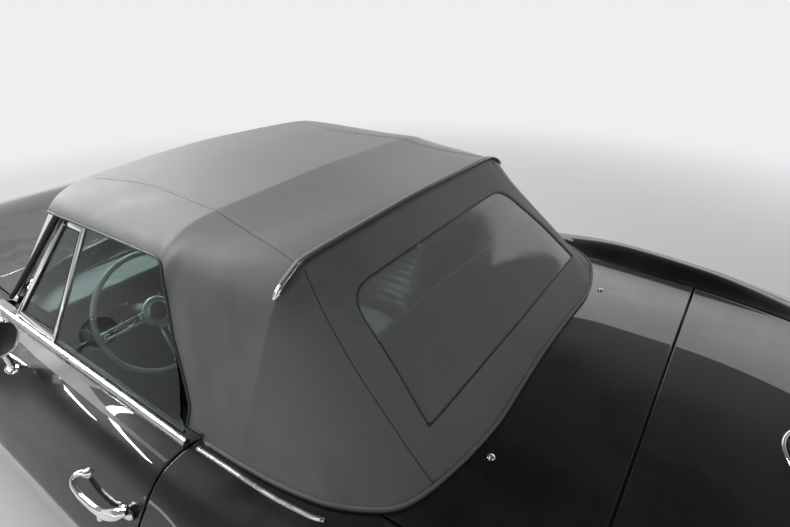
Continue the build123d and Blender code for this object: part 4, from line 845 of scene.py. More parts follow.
def tail():
    """The tail's leaning face between the quarters' lower edges, bowed a little and rounded into them."""
    levels = [(y, *row[[1, 2]]) for y, row in zip(BODY_YS, BODY_ROWS) if y > 2.05]
    rows = []
    for y, x, z in levels[::-1]:
        t = np.linspace(-1, 1, 61)
        xs = x * np.sign(t) * (1 - (1 - np.abs(t))**1.25)
        bow = 0.012 * (1 - t**2) * min(1.0, (0.69 - z) / 0.1) if z < 0.69 else 0.0 * t
        rows.append(np.column_stack([xs, y + bow * 0.6, np.full(len(t), z)]))
    bm = grid_mesh(np.array(rows))
    facing(bm, lambda f: f.normal.y)
    piece("Tail_face", roll_edges(bm, radius=0.006, depth=0.01), PAINT, slot="black_paint")
    lip = grid_mesh(both_halves(skin_grid(DECK_REAR_Y - 0.03, 2.4, 0, HALF_COLUMNS - 1)))
    trimmed(lip, between_ys(DECK_REAR_Y + 0.0006, 3))
    piece("Tail_lip", roll_edges(outwards_from_car(lip), radius=0.008, depth=0.004), PAINT, slot="black_paint")


# The soft top

EAVES = np.array([
    (-300, 674, 556, 1214, 466, 1244, 1256),
    (-205, 675, 556, 1218, 470, 1250, 1262),
    (0, 678, 552, 1216, 465, 1256, 1268),
    (313, 680, 552, 1212, 458, 1256, 1268),
    (500, 676, 535, 1190, 453, 1240, 1252),
    (573, 674, 528, 1180, 450, 1232, 1244),
    (630, 674, 520, 1172, 448, 1226, 1238),
    (700, 674, 512, 1118, 422, 1150, 1166),
    (830, 668, 505, 1008, 438, 1048, 1066),
    (938, 612, 482, 930, 426, 957, 970),
    (1001, 500, 410, 893, 345, 914, 924),
    (1036, 330, 280, 884, 230, 888, 892),
]) * MM
HEM_Z = 0.866
HEM_CLEARANCE = 0.002
MIDDLE_BOW_Y = 0.313
REAR_BOW_Y = 0.630
TOP_STEPS = (26, 10, 22)
TOP_YS = np.concatenate([np.linspace(*run) for run in (
    (-0.32, 0.30, 48), (0.305, 0.335, 7), (0.345, 0.612, 22), (0.618, 0.642, 7), (0.652, 1.036, 40))])


def top_rows(ys):
    """The top's section values, smooth within each cloth panel and creased over the two bows."""
    out = np.zeros((len(ys), EAVES.shape[1]))
    for low, high in ((0, 3), (3, 6), (6, 11)):
        part = (ys >= (EAVES[low, 0] - 1e-9 if low else -1.0)) & (ys <= EAVES[high, 0] + 1e-9)
        out[part] = smooth_rows(EAVES[low:high + 1], ys[part])
    out[:, 0] = ys
    return out


def top_half_section(row):
    hem_x, edge_x, edge_z, crown_x, crown_z, top_z = row[1:]
    points = np.array([(hem_x, HEM_Z), (edge_x, edge_z), (crown_x, crown_z), (0.0, top_z)])
    chain, marks = rounded(points, (0.75, 0.75), 13)
    fitted = resampled(chain, marks, TOP_STEPS)
    return softened(np.vstack([fitted, fitted[::-1][1:] * (-1, 1)]), 10)[:len(fitted)]


def draped_top():
    """The grid of the stretched top's skin."""
    rows = top_rows(TOP_YS)
    left = np.zeros((len(TOP_YS), sum(TOP_STEPS) + 1, 3))
    for k, (y, row) in enumerate(zip(TOP_YS, rows)):
        section = top_half_section(row)
        left[k, :, 0], left[k, :, 1], left[k, :, 2] = section[:, 0], y, section[:, 1]
    return draped(both_halves(left))


def bell(value, centre, width):
    return np.exp(-((value - centre) / width)**2)


def draped(grid):
    """The cloth's slack: a sag between the bows, and the small pulls and puckers round the bows' ends."""
    x, y, z = grid[:, :, 0], grid[:, :, 1], grid[:, :, 2]
    roof = np.clip((z - 1.215) / 0.03, 0, 1)
    front_span = np.clip((y + 0.24) / (MIDDLE_BOW_Y + 0.24), 0, 1)
    rear_span = np.clip((y - MIDDLE_BOW_Y) / (REAR_BOW_Y - MIDDLE_BOW_Y), 0, 1)
    sag = 0.006 * np.sin(math.pi * front_span) * front_span + 0.0095 * np.sin(math.pi * rear_span)
    z -= sag * roof
    side = np.clip((1.20 - z) / 0.10, 0, 1) * (y > 0.3)
    pull = 0.005 * np.sin(math.pi * np.clip((z - 0.9) / 0.3, 0, 1)) * bell(y, 0.50, 0.09)
    x -= np.sign(x) * side * pull
    ridge = (0.0035 * bell(y + 0.25 * (1.2 - z), 0.345, 0.018) * np.clip((1.235 - z) / 0.03, 0, 1)
             * np.clip((z - 1.02) / 0.12, 0, 1))
    x += np.sign(x) * ridge
    puckers = ((0.42, 1.10, 0.02, 0.0022), (0.47, 1.02, 0.025, 0.002), (0.53, 1.12, 0.022, 0.0016),
               (0.56, 0.99, 0.03, 0.0018))
    for k, (place, height, width, amount) in enumerate(puckers):
        lean = 0.35 + 0.1 * k
        x += np.sign(x) * amount * bell(y + lean * (z - height), place, width) * bell(z, height, 0.10)
    return grid


REAR_WINDOW_CENTRE = Vector((0.0, 0.817, 1.052))
REAR_WINDOW_UP = Vector((0, -0.76, 0.65)).normalized()
REAR_WINDOW_HALF = [tuple(p) for p in rounded([(0.0, 0.160), (0.380, 0.160), (0.438, -0.157), (0.0, -0.157)],
                                              (0.42, 0.10), 5)[0][1:-1]]
REAR_WINDOW_OUTLINE = REAR_WINDOW_HALF + [(-a, b) for a, b in REAR_WINDOW_HALF[::-1]]


def in_rear_window(x, y, z, slack):
    """Above zero inside the rear window's rounded outline, seen square to the rear slope."""
    v = (y - REAR_WINDOW_CENTRE.y) * REAR_WINDOW_UP.y + (z - REAR_WINDOW_CENTRE.z) * REAR_WINDOW_UP.z
    return np.where(y > 0.62, in_polygon(x, v, REAR_WINDOW_OUTLINE, slack), -1.0)


def in_side_opening(x, y, z):
    """Above zero inside the side window's opening; its upper rear corner is rounded as in the photograph."""
    r = 0.050
    corners = [(-0.60, 0.60), (-0.60, 1.199 - r), (0.290, 1.147), (0.341, 1.026), (0.420, 0.909), (0.420, 0.60)]
    measured = np.maximum(in_polygon(y, z, corners, r), np.minimum(0.889 - z, 0.525 - y))
    return np.where(np.abs(x) > 0.4, measured, -1.0)


WINDSHIELD_HEAD = np.array([(541, -192), (400, -238), (180, -268), (0, -274)]) * MM


def header_line(count):
    """The windshield header's smooth line in plan from side to side."""
    route = np.vstack([WINDSHIELD_HEAD, WINDSHIELD_HEAD[-2::-1] * (-1, 1)])
    chain, _ = rounded(route, [0.95] * (len(route) - 2), 9)
    s = lengths_along(chain)
    even = np.linspace(0, s[-1], count)
    line = np.column_stack([np.interp(even, s, chain[:, k]) for k in (0, 1)])
    return softened(line, 3)


def soft_top():
    """The raised top: one grained vinyl skin, trimmed at the header, round its openings and along its hem."""
    bm = grid_mesh(draped_top())
    front = header_line(81)
    order = np.argsort(front[:, 0])

    def behind_header(x, y, z):
        return y - np.interp(x, front[order, 0], front[order, 1]) + 0.014

    for measure in (behind_header,
                    lambda x, y, z: -in_side_opening(x, y, z),
                    lambda x, y, z: -in_rear_window(x, y, z, 0.0),
                    lambda x, y, z: z - skin_height(x, y) - HEM_CLEARANCE):
        trimmed(bm, measure)
    outwards_from_car(bm)
    chains = boundary_chains(bm)
    roll_edges(bm, radius=0.0018, depth=0.003)
    top = piece("Soft_top", bm, TOP_VINYL, slot="top_vinyl", stands_for=("top_fabric",), sharp=50)
    return chains


def sunk(bm, depth):
    """A skin moved in along its own normals."""
    outwards_from_car(bm)
    for v in bm.verts:
        v.co -= v.normal * depth
    return bm


def rear_window():
    """The clear sheet behind the top's rear opening."""
    bm = sunk(trimmed(grid_mesh(draped_top()), lambda x, y, z: in_rear_window(x, y, z, 0.010)), 0.0035)
    piece("Clear_rear_window", bm, VINYL_WINDOW, slot="clear_vinyl", stands_for=("rear_window",), sharp=0)


# Strips, beads and small bright parts that lie on the skins

def even_route(points, step=0.008, passes=2):
    """A smooth route through points, with even short steps."""
    points = np.asarray(points, float)
    s = lengths_along(points)
    count = max(int(s[-1] / step), 6)
    even = np.linspace(0, s[-1], count + 1)
    route = np.column_stack([np.interp(even, s, points[:, k]) for k in range(3)])
    return softened(route, passes)


def skin_tree(grid):
    """A finder of nearest points on a skin."""
    bm = grid_mesh(grid)
    bm.normal_update()
    return BVHTree.FromBMesh(bm)


def laid(tree, route, lift=0.0):
    """A route laid on a skin: its points, lifted a little, and the skin's normals there."""
    points, normals = [], []
    for p in route:
        near, normal, _, _ = tree.find_nearest(Vector(p))
        if normal.dot(near - Vector((0, near.y, 0.6))) < 0:
            normal = -normal
        points.append(near + normal * lift)
        normals.append(normal)
    return points, normals


def half_round(width, height, sink=0.002):
    """The outline of a low rounded strip that sits on a skin."""
    w = width / 2
    return [(-w, -sink), (-w, 0.2 * height), (-0.72 * w, 0.75 * height), (-0.3 * w, height), (0.3 * w, height),
            (0.72 * w, 0.75 * height), (w, 0.2 * height), (w, -sink)]


def strip_mesh(points, normals, outline):
    """An outline of (across, up) carried along points that lie on a skin."""
    def side_of(i):
        before, after = points[max(i - 1, 0)], points[min(i + 1, len(points) - 1)]
        along = (after - before).normalized()
        up = (normals[i] - along * normals[i].dot(along)).normalized()
        return along.cross(up), up
    return swept_mesh(points, outline, side_of)


def laid_strip(tree, route, width, height, lift=0.0):
    points, normals = laid(tree, route, lift)
    return strip_mesh(points, normals, half_round(width, height))


def flipped(points):
    return [(-p[0], *p[1:]) for p in points]


def both_hands(build, route):
    """The same piece built along a route and along its mirror image, as one mesh."""
    return joined(build(route), build(flipped(route)))


def ball_mesh(centre, radii, segments=20):
    """An ellipsoid, for studs, tips and buttons."""
    bm = bmesh.new()
    bmesh.ops.create_uvsphere(bm, u_segments=segments, v_segments=segments // 2, radius=1.0)
    bmesh.ops.scale(bm, vec=radii, verts=bm.verts)
    bmesh.ops.translate(bm, vec=centre, verts=bm.verts)
    return bm


def disc_mesh(profile, centre, axis, segments=32):
    """A turned form about any axis: the profile is (place along the axis, radius)."""
    turn = Vector((0, 0, 1)).rotation_difference(Vector(axis).normalized()).to_matrix().to_4x4()
    return moved(revolved_mesh(profile, (0, 0, 0), "Z", segments), Matrix.Translation(Vector(centre)) @ turn)


def bar_mesh(start, end, width, depth, across, radius=0.0025):
    """A straight bar with rounded edges; across is the direction of its width."""
    start, end = Vector(start), Vector(end)
    along = (end - start).normalized()
    across = (Vector(across) - along * Vector(across).dot(along)).normalized()
    normal = along.cross(across)
    bm = block_mesh((-width / 2, -depth / 2, 0), (width / 2, depth / 2, (end - start).length), radius, 2)
    turn = Matrix((across, normal, along)).transposed().to_4x4()
    return outwards(moved(bm, Matrix.Translation(start) @ turn))


def slab_mesh(corners, thickness, normal):
    """A flat pane of constant thickness behind its outline."""
    bm = bmesh.new()
    front = [bm.verts.new(Vector(p)) for p in corners]
    back = [bm.verts.new(Vector(p) - Vector(normal) * thickness) for p in corners]
    bm.faces.new(front)
    bm.faces.new(back[::-1])
    for k in range(len(front)):
        bm.faces.new((front[k], back[k], back[(k + 1) % len(front)], front[(k + 1) % len(front)]))
    return outwards(bm)


# The soft top's seams, edges, welt and studs

ROOF_SEAM = [(402, -210, 1246), (383, -110, 1253), (368, -40, 1255), (362, 37, 1256), (373, 189, 1256),
             (386, 315, 1256), (398, 435, 1240), (417, 555, 1230), (430, 616, 1223)]
QUARTER_SEAM = [(429, 640, 1214), (439, 673, 1169), (450, 711, 1129), (464, 764, 1081), (473, 811, 1039),
                (479, 873, 980), (486, 933, 926), (490, 985, 890)]
WELT_Y = 0.628
WELT_HALF_WIDTH = 0.503


def scaled(points, factor=MM):
    return [tuple(c * factor for c in p) for p in points]


def top_details(chains):
    """Seams, the welt over the rear bow with its bright tips, the edges' binding and the window's border."""
    tree = skin_tree(draped_top())
    seams, seam_lines_painted_shade = [], []
    for line in (ROOF_SEAM, QUARTER_SEAM):
        seams.append(both_hands(lambda r: laid_strip(tree, even_route(r), 0.012, 0.0009), scaled(line)))
        # A thin dark strip along one edge of each seam: the seam's stitch line, drawn dark as painted shade of
        # the groove beside it.
        edge = [(x + 0.0055, y, z) for x, y, z in scaled(line)]
        seam_lines_painted_shade.append(both_hands(lambda r: laid_strip(tree, even_route(r), 0.0024, 0.0006, 0.0004), edge))
    piece("Seam_edge_painted_shade", joined(*seam_lines_painted_shade), BINDING, slot="top_vinyl", sharp=0)
    piece("Top_seams", joined(*seams), TOP_VINYL, slot="top_vinyl", sharp=0)

    route = [(x, WELT_Y, 1.3) for x in np.linspace(-0.44, 0.44, 40)]
    ends = [(0.462, WELT_Y, 1.212), (0.482, WELT_Y - 0.001, 1.203), (WELT_HALF_WIDTH, WELT_Y - 0.002, 1.190)]
    line = flipped(ends)[::-1] + route + ends
    points, normals = laid(tree, even_route(line), 0.0)
    bead = strip_mesh([p + Vector((0, -0.003, 0)) for p in points], normals, half_round(0.017, 0.0062))
    piece("Welt", bead, TOP_VINYL, slot="top_vinyl", stands_for=("top_molding",), sharp=0)
    cord = tube_mesh([p + Vector((0, 0.0075, 0)) + n * 0.003 for p, n in zip(points, normals)], 0.0038, 10)
    piece("Welt_cord", cord, WELT_RUBBER, slot="interior_trim", sharp=0)
    tips = []
    for end, before, normal in ((points[0], points[3], normals[0]), (points[-1], points[-4], normals[-1])):
        along = (end - before).normalized()
        base = end - along * 0.016 + normal * 0.002 + Vector((0, 0.001, 0))
        tips.append(disc_mesh([(0.0, 0.0), (0.0, 0.0075), (0.004, 0.0088), (0.014, 0.0085), (0.024, 0.0062),
                               (0.031, 0.003), (0.033, 0.0)], base, along, 24))
    piece("Welt_tips", joined(*tips), CHROME, slot="bright_metal")

    binding, hem = [], []
    for chain in chains:
        array = np.array(chain)
        opening = np.abs(in_side_opening(array[:, 0], array[:, 1], array[:, 2])) < 0.004
        near_deck = np.abs(array[:, 2] - skin_height(array[:, 0], array[:, 1]) - HEM_CLEARANCE) < 0.004
        window = in_rear_window(array[:, 0], array[:, 1], array[:, 2], 0.004) > 0
        for kind, chosen in ((binding, opening & ~near_deck), (hem, near_deck & ~opening & ~window)):
            kind.extend(runs_of(array, chosen))
    sides = [tube_mesh(run, 0.0034, 8) for run in binding if len(run) > 8]
    piece("Opening_binding", joined(*sides), BINDING, slot="interior_trim", sharp=0)
    folds, shadows = [], []
    for run in hem:
        if len(run) > 8:
            folds.append(tube_mesh([p + Vector((0, 0, 0.0035)) for p in run], 0.0042, 8))
            # The dark tube just below each hem run is painted shadow: it stands for the shade that the hem
            # casts on the body.
            shadows.append(tube_mesh([p - Vector((0, 0, 0.0015)) for p in run], 0.0045, 8))
    piece("Hem_fold", joined(*folds), TOP_VINYL, slot="top_vinyl", sharp=0)
    piece("Hem_painted_shadow", joined(*shadows), SEAL, slot="interior_trim", sharp=0)

    border = trimmed(grid_mesh(draped_top()), lambda x, y, z: in_rear_window(x, y, z, 0.0025))
    trimmed(border, lambda x, y, z: -in_rear_window(x, y, z, -0.006))
    piece("Window_border", sunk(border, 0.0012), BINDING, slot="interior_trim", sharp=0)

    studs = [disc_mesh([(0.0, 0.0085), (0.002, 0.0085), (0.004, 0.0068), (0.0052, 0.003), (0.0054, 0.0)],
                       (x, 1.044, height_at(x, 1.044)), (0, 0.05, 1), 20) for x in (-0.380, 0.380)]
    piece("Tonneau_studs", joined(*studs), CHROME, slot="bright_metal")


def runs_of(points, chosen):
    """The stretches of a closed chain whose points are chosen."""
    if chosen.all() or not chosen.any():
        return [[Vector(p) for p in points]] if chosen.any() else []
    start = int(np.argmin(chosen))
    order = np.roll(np.arange(len(points)), -start)
    runs, run = [], []
    for k in order:
        if chosen[k]:
            run.append(Vector(points[k]))
        elif run:
            runs.append(run)
            run = []
    if run:
        runs.append(run)
    return runs


# Dark channels below the seams, and the walls behind the doors' gaps

def gutters():
    """Channels below the seams along and across the car and round the filler, and walls behind the doors."""
    near, depth = 3, 0.019
    shapes = [mirrored(grid_mesh(skin_grid(y0, y1, SEAM_COLUMN - near, SEAM_COLUMN + near)))
              for y0, y1 in ((-1.90, -0.56), (0.56, 2.17))]
    for y in (-1.9985, HOOD_REAR_Y, COWL_REAR_Y, 0.637, LID_REAR_Y, 2.18):
        channel = grid_mesh(crown_grid(y - 0.002, y + 0.002))
        shapes.append(trimmed(channel, lambda x, y, z: -1.995 - y) if y < -1.9 else channel)
    for bm in shapes:
        outwards_from_car(bm)
        bm.normal_update()
        for v in bm.verts:
            v.co -= v.normal * depth
    ring = revolved_mesh([(-0.030, FILLER_RADIUS - 0.012), (-0.030, FILLER_RADIUS + 0.016)],
                         (0, FILLER_Y, height_at(0, FILLER_Y)), "Z", 48)
    piece("Gutters", joined(*shapes, ring), CHASSIS, slot="chassis_paint")
    y = DOOR_REAR_Y + 0.026
    outer = section_at(y)[:SEAM_COLUMN - 8] - (0.008, 0.0)
    rows = [[(x, y, z), (0.61, y, z)] for x, z in outer[outer[:, 1] > DOOR_BOTTOM_Z]]
    piece("Shut_walls", mirrored(grid_mesh(np.array(rows))), PAINT, slot="black_paint")


# The doors' inner shells, windows, mouldings, handles and mirror

WINDOW_FOOT = Vector((0.682, 0.0, 0.885))
WINDOW_HEAD = Vector((0.533, 0.0, 1.182))
PANE_NORMAL = Vector((0.297, 0.0, 0.149)).normalized()
STRAP_LEVELS = (0.600, 0.760)


def on_window(y, share, offset=0.0):
    """A point on the side window's leaning plane, a share of the way from its foot to its head."""
    p = WINDOW_FOOT.lerp(WINDOW_HEAD, share)
    return Vector((p.x, y, p.z)) + PANE_NORMAL * offset


def division_y(share):
    return -0.107 + 0.045 * share


def vent_front_y(share):
    return -0.342 + 0.172 * share


def for_each_door(build):
    """Builds a door piece on the left door and its mirror image on the right one."""
    for side, name in SIDES:
        for label, bm, finish, slot, stands_for in build(name):
            piece(label + "_" + name, on_side(bm, side), finish, "door_" + name, slot, stands_for)


def door_inner_chain(y):
    """The inner surface of the door, from the top's outer edge down to the foot."""
    row = row_at(y)
    top = row[PEAK[1]] - 0.010
    share = (DOOR_BOTTOM_Z - row[SILL[1]]) / (row[LOW[1]] - row[SILL[1]])
    foot_x = row[SILL[0]] + share * (row[LOW[0]] - row[SILL[0]])
    foot_z = DOOR_BOTTOM_Z + 0.003
    points = [(row[PEAK[0]] - 0.012, top), (0.655, top), (0.645, 0.600), (0.690, 0.420), (0.725, foot_z),
              (foot_x - 0.004, foot_z)]
    chain, marks = rounded(points, (0.5, 0.5, 0.6, 0.2), 7)
    return resampled(chain, marks, (4, 16, 12, 8, 5))


def door_end_wall(y, low, high):
    """A wall across the door's thickness at one of its ends."""
    zs = np.linspace(low, high, 9)
    xs_out = widths_at(section_at(y)[:SEAM_COLUMN], zs) - 0.0035
    xs_in = widths_at(door_inner_chain(y)[::-1], zs) + 0.001
    return grid_mesh(np.array([[(a, y, z), (b, y, z)] for a, b, z in zip(xs_out, xs_in, zs)]))


def door_parts(name):
    """The left door's pieces, one at a time, named for the door that they are for."""
    y0, y1 = DOOR_FRONT_Y + 0.004, DOOR_REAR_Y - 0.004
    rows = [[(x, y, z) for x, z in door_inner_chain(y)] for y in np.linspace(y0, y1, 26)]
    card = facing(grid_mesh(np.array(rows)), lambda f: -f.normal.x)
    yield "Door_card", card, LEATHER, "interior_trim", ("door_" + name,)
    reach = 0.018
    levels = [DOOR_BOTTOM_Z + 0.003, STRAP_LEVELS[0] - reach, STRAP_LEVELS[0] + reach, STRAP_LEVELS[1] - reach,
              STRAP_LEVELS[1] + reach, 0.866]
    walls = [door_end_wall(y0, levels[k], levels[k + 1]) for k in (0, 2, 4)]
    walls.append(door_end_wall(y1, levels[0], 0.868))
    yield "Door_ends", joined(*walls), PAINT, "black_paint", ()

    belt = [(0.6925, y, 0.8830) for y in np.linspace(-0.510, DOOR_REAR_Y - 0.006, 40)]
    profile = [(-0.0075, -0.020), (-0.0075, 0.000), (-0.005, 0.003), (0.0, 0.0040), (0.005, 0.0018),
               (0.0095, -0.006), (0.0115, -0.020)]
    strip = swept_mesh(belt, profile, lambda i: (Vector((1, 0, 0)), Vector((0, 0, 1))))
    yield "Belt_moulding", strip, SATIN, "bright_metal", ()
    seal = [(0.6795, y, 0.8850) for y in np.linspace(-0.105, DOOR_REAR_Y - 0.03, 30)]
    yield "Window_seal", tube_mesh(seal, 0.0042, 8), SEAL, "interior_trim", ()

    main = [(division_y(-0.07) + 0.008, -0.07), (0.474, -0.07), (0.474, 0.0), (0.458, 0.06), (0.428, 0.3),
            (0.298, 0.9), (0.258, 1.0), (division_y(1.0) + 0.008, 1.0)]
    low, high = 0.056, 0.939
    vent = [(vent_front_y(low) + 0.02, low), (division_y(low) - 0.008, low), (division_y(high) - 0.008, high),
            (vent_front_y(high) + 0.02, high)]
    panes = joined(*(slab_mesh([on_window(y, s) for y, s in outline], 0.004, PANE_NORMAL)
                     for outline in (main, vent)))
    yield "Door_panes", panes, GLASS, "tinted_glass", ("door_glass_" + name,)

    ends = ((lambda s: vent_front_y(s) + 0.010, 0.020), (division_y, 0.015))
    bars = [bar_mesh(on_window(line(-0.045), -0.045, -0.002), on_window(line(1.0), 1.0, -0.002), width, 0.015,
                     (0, 1, 0), 0.004) for line, width in ends]
    for share in (0.028, 0.968):
        bars.append(bar_mesh(on_window(vent_front_y(share) + 0.002, share, -0.002),
                             on_window(division_y(share) + 0.006, share, -0.002),
                             0.020, 0.015, WINDOW_HEAD - WINDOW_FOOT, 0.004))
    yield "Vent_frame", joined(*bars), CHROME, "bright_metal", ("door_trim_" + name,)
    inner = [(vent_front_y(0.06) + 0.0225, 0.062), (division_y(0.06) - 0.0105, 0.062),
             (division_y(0.93) - 0.0105, 0.932), (vent_front_y(0.93) + 0.0225, 0.932)]
    rubber = tube_mesh([on_window(y, s, 0.001) for y, s in inner], 0.0036, 8, closed=True, up=(1, 0, 0.5))
    yield "Vent_rubber", rubber, SEAL, "interior_trim", ()

    yield "Door_handle", lever_handle(), CHROME, "bright_metal", ()


def lever_handle():
    """The curved lever with its finger gap, its broad rear blade on a pad, and the round push button."""
    way = [(828, 303, 789), (838, 286, 789), (850, 281, 784), (859, 293, 778), (862, 330, 773), (861, 385, 773),
           (858, 425, 780), (852, 452, 793), (844, 472, 804), (836, 486, 810)]
    route = even_route(scaled(way), 0.006, 3)
    radii = np.interp(np.linspace(0, 1, len(route)), [0, 0.08, 0.3, 0.6, 0.78, 0.9, 1.0],
                      [0.006, 0.0068, 0.0078, 0.0088, 0.0125, 0.0135, 0.007])
    lever = tube_mesh(route, list(radii), 14, up=(0.8, 0, 0.6), flat=0.72)
    out = Vector((0.86, 0.0, 0.5)).normalized()
    foot = disc_mesh([(-0.004, 0.012), (0.002, 0.012), (0.006, 0.009), (0.012, 0.006), (0.014, 0.0)],
                     (0.826, 0.304, 0.787), out, 24)
    blade = ball_mesh((0.832, 0.470, 0.792), (0.010, 0.024, 0.016))
    button = disc_mesh([(-0.010, 0.0105), (0.016, 0.0105), (0.019, 0.009), (0.020, 0.006), (0.0185, 0.0)],
                       (0.846, 0.405, 0.752), out, 24)
    return joined(lever, foot, blade, button)


def mirror():
    """The round mirror on the driver's door."""
    centre = Vector((0.792, -0.130, 0.948))
    shell = [(0.008, 0.0), (0.008, 0.044), (0.010, 0.049), (0.004, 0.051), (-0.006, 0.0495), (-0.018, 0.043),
             (-0.028, 0.030), (-0.032, 0.016), (-0.033, 0.0)]
    head = disc_mesh(shell, centre, (-0.12, 1, -0.05), 40)
    stalk_foot = Vector((0.783, -0.140, height_at(0.783, -0.140)))
    steps = ((0, 0, -0.004), (0.001, 0.0, 0.020), (0.003, -0.004, 0.045))
    way = [*(stalk_foot + Vector(step) for step in steps), centre + Vector((-0.001, -0.012, -0.030))]
    stalk = tube_mesh(even_route(way, 0.006, 2), 0.0085, 14)
    base = ball_mesh(stalk_foot + Vector((0, 0, 0.001)), (0.019, 0.030, 0.008))
    piece("Mirror_head", joined(head, stalk, base), CHROME, "door_left", "bright_metal")


def quarter_mouldings():
    """The bright strip on the body beside the top's hem, and the ring round the fuel filler."""
    tree = skin_tree(both_halves(BODY))
    row = smooth_rows(EAVES, np.linspace(0.528, 0.865, 36))
    route = [(x + 0.0110 - 0.003 * k / 35, y, 0.9) for k, (x, y) in enumerate(zip(row[:, 1], row[:, 0]))]
    strip = both_hands(lambda r: laid_strip(tree, even_route(r), 0.0105, 0.0042), route)
    piece("Quarter_strips", strip, SATIN, slot="bright_metal", sharp=0)
    radius = 0.1055
    ring = [(radius * math.cos(a), FILLER_Y + radius * math.sin(a)) for a in turns(72)]
    points = [(x, y, height_at(x, y) + 0.0005) for x, y in ring]
    piece("Filler_ring", tube_mesh(points, 0.0042, 10, closed=True), CHROME, slot="bright_metal", sharp=0)
    seal = [(0.652, -0.452, 0.893), (0.640, -0.420, 0.925), (0.597, -0.300, 1.052), (0.560, -0.205, 1.160),
            (0.548, -0.178, 1.190)]
    rubber = both_hands(lambda r: tube_mesh(even_route(r), 0.0075, 10), seal)
    piece("Pillar_seals", rubber, SEAL, slot="interior_trim", sharp=0)


# The cabin

PALE_RIM = plain_grain("Pale wheel rim", (0.26, 0.245, 0.21), (0.32, 0.30, 0.26), 0.3, 900.0, 0.05,
                       Coat_Weight=0.6)
DIAL = plain_grain("Dial face", (0.006, 0.006, 0.007), (0.012, 0.012, 0.013), 0.35, 900.0, 0.05)
MARKS = plain_grain("Dial marks", (0.55, 0.56, 0.52), (0.62, 0.62, 0.58), 0.5, 900.0, 0.05)
PLATE = plain_grain("Blank plate", (0.50, 0.51, 0.52), (0.58, 0.58, 0.59), 0.4, 300.0, 0.1)
SEAT_X = 0.385
PAD_VOXEL = 0.009
PAD_SWELL = 0.024
PAD_CHANNELS = [k * 0.042 for k in range(-3, 4)]


def swelled(item, steps=20):
    """Padding: the remeshed form is blown up as cloth, no point further than the limit, and kept."""
    remesh = item.modifiers.new("Remesh", "REMESH")
    remesh.mode = "VOXEL"
    remesh.voxel_size = PAD_VOXEL
    remesh.use_smooth_shade = True
    bpy.context.view_layer.objects.active = item
    kept_mesh(item)
    before = np.array([v.co for v in item.data.vertices])
    cloth = item.modifiers.new("Cloth", "CLOTH")
    cloth.settings.use_pressure = True
    cloth.settings.uniform_pressure_force = 4.0
    cloth.settings.quality = 6
    cloth.settings.tension_stiffness = 25.0
    cloth.settings.compression_stiffness = 25.0
    cloth.settings.effector_weights.gravity = 0.0
    cloth.collision_settings.use_collision = False
    scene = bpy.context.scene
    for frame_number in range(1, steps + 1):
        scene.frame_set(frame_number)
    kept_mesh(item)
    scene.frame_set(1)
    move = np.array([v.co for v in item.data.vertices]) - before
    length = np.linalg.norm(move, axis=1, keepdims=True)
    move *= np.minimum(1.0, PAD_SWELL / np.maximum(length, 1e-9))
    item.data.vertices.foreach_set("co", (before + move).ravel())
    finer = item.modifiers.new("Finer", "SUBSURF")
    finer.levels = finer.render_levels = 1
    kept_mesh(item)
    item.data.shade_smooth()


def kept_mesh(item):
    """Writes the result of an object's modifiers into its mesh and removes them."""
    graph = bpy.context.evaluated_depsgraph_get()
    graph.update()
    made = bpy.data.meshes.new_from_object(item.evaluated_get(graph), depsgraph=graph)
    item.modifiers.clear()
    old = item.data
    item.data = made
    bpy.data.meshes.remove(old)


def pad(name, size, radius, place, lean, stands_for=()):
    """A stuffed pad with sewn channels on its sitting side, and a seam along each side of them."""
    half = half_x, half_y, half_z = [s / 2 for s in size]
    item = linked(name, mesh_block(name, block_mesh([-h for h in half], half, radius, 5)))
    swelled(item)
    co = np.array([v.co for v in item.data.vertices])
    x, y = co[:, 0], np.abs(co[:, 1])
    seam_x = half_x * 0.80

    def ramped(distance):
        return np.clip(distance / 0.02, 0, 1)

    def upper_side():
        return np.clip(co[:, 2] / half_z - 0.35, 0, 1)

    inside = ramped(seam_x - np.abs(x)) * ramped(half_y * 0.86 - y)
    co[:, 2] -= 0.0085 * (upper_side() * inside) * sum(bell(x, place_x, 0.0065) for place_x in PAD_CHANNELS)
    co[:, 2] -= 0.008 * (upper_side() * bell(np.abs(x), seam_x, 0.007)) * ramped(half_y * 0.9 - y)
    item.data.vertices.foreach_set("co", co.ravel())
    item.data.transform(Matrix.Translation(place) @ Matrix.Rotation(lean, 4, "X"))
    item.data.update()
    item.data.materials.clear()
    item.data.materials.append(LEATHER)
    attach(item, "body")
    if stands_for:
        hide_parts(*stands_for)
    return item


def seats():
    """Two bucket seats: a pleated cushion and back each, on low bases, with dark back shells."""
    for side, name in SIDES:
        x = side * SEAT_X
        pad("Cushion_" + name, (0.430, 0.455, 0.100), 0.040, (x, 0.045, 0.352), math.radians(5),
            ("seats",) if side > 0 else ())
        pad("Backrest_" + name, (0.415, 0.455, 0.088), 0.036, (x, 0.352, 0.650), math.radians(73))
        base = block_mesh((x - 0.20, -0.17, 0.235), (x + 0.20, 0.25, 0.292), 0.012, 3)
        shell = block_mesh((x - 0.200, 0.412, 0.34), (x + 0.200, 0.422, 0.80), 0.004, 2)
        moved(shell, Matrix.Translation((x, 0.415, 0.34)) @ Matrix.Rotation(math.radians(-16), 4, "X")
              @ Matrix.Translation((-x, -0.415, -0.34)))
        piece("Bucket_base_" + name, joined(base, shell), TRIM, slot="interior_trim")


WHEEL_HUB = Vector((0.375, -0.132, 0.805))
WHEEL_RAKE = math.radians(20)


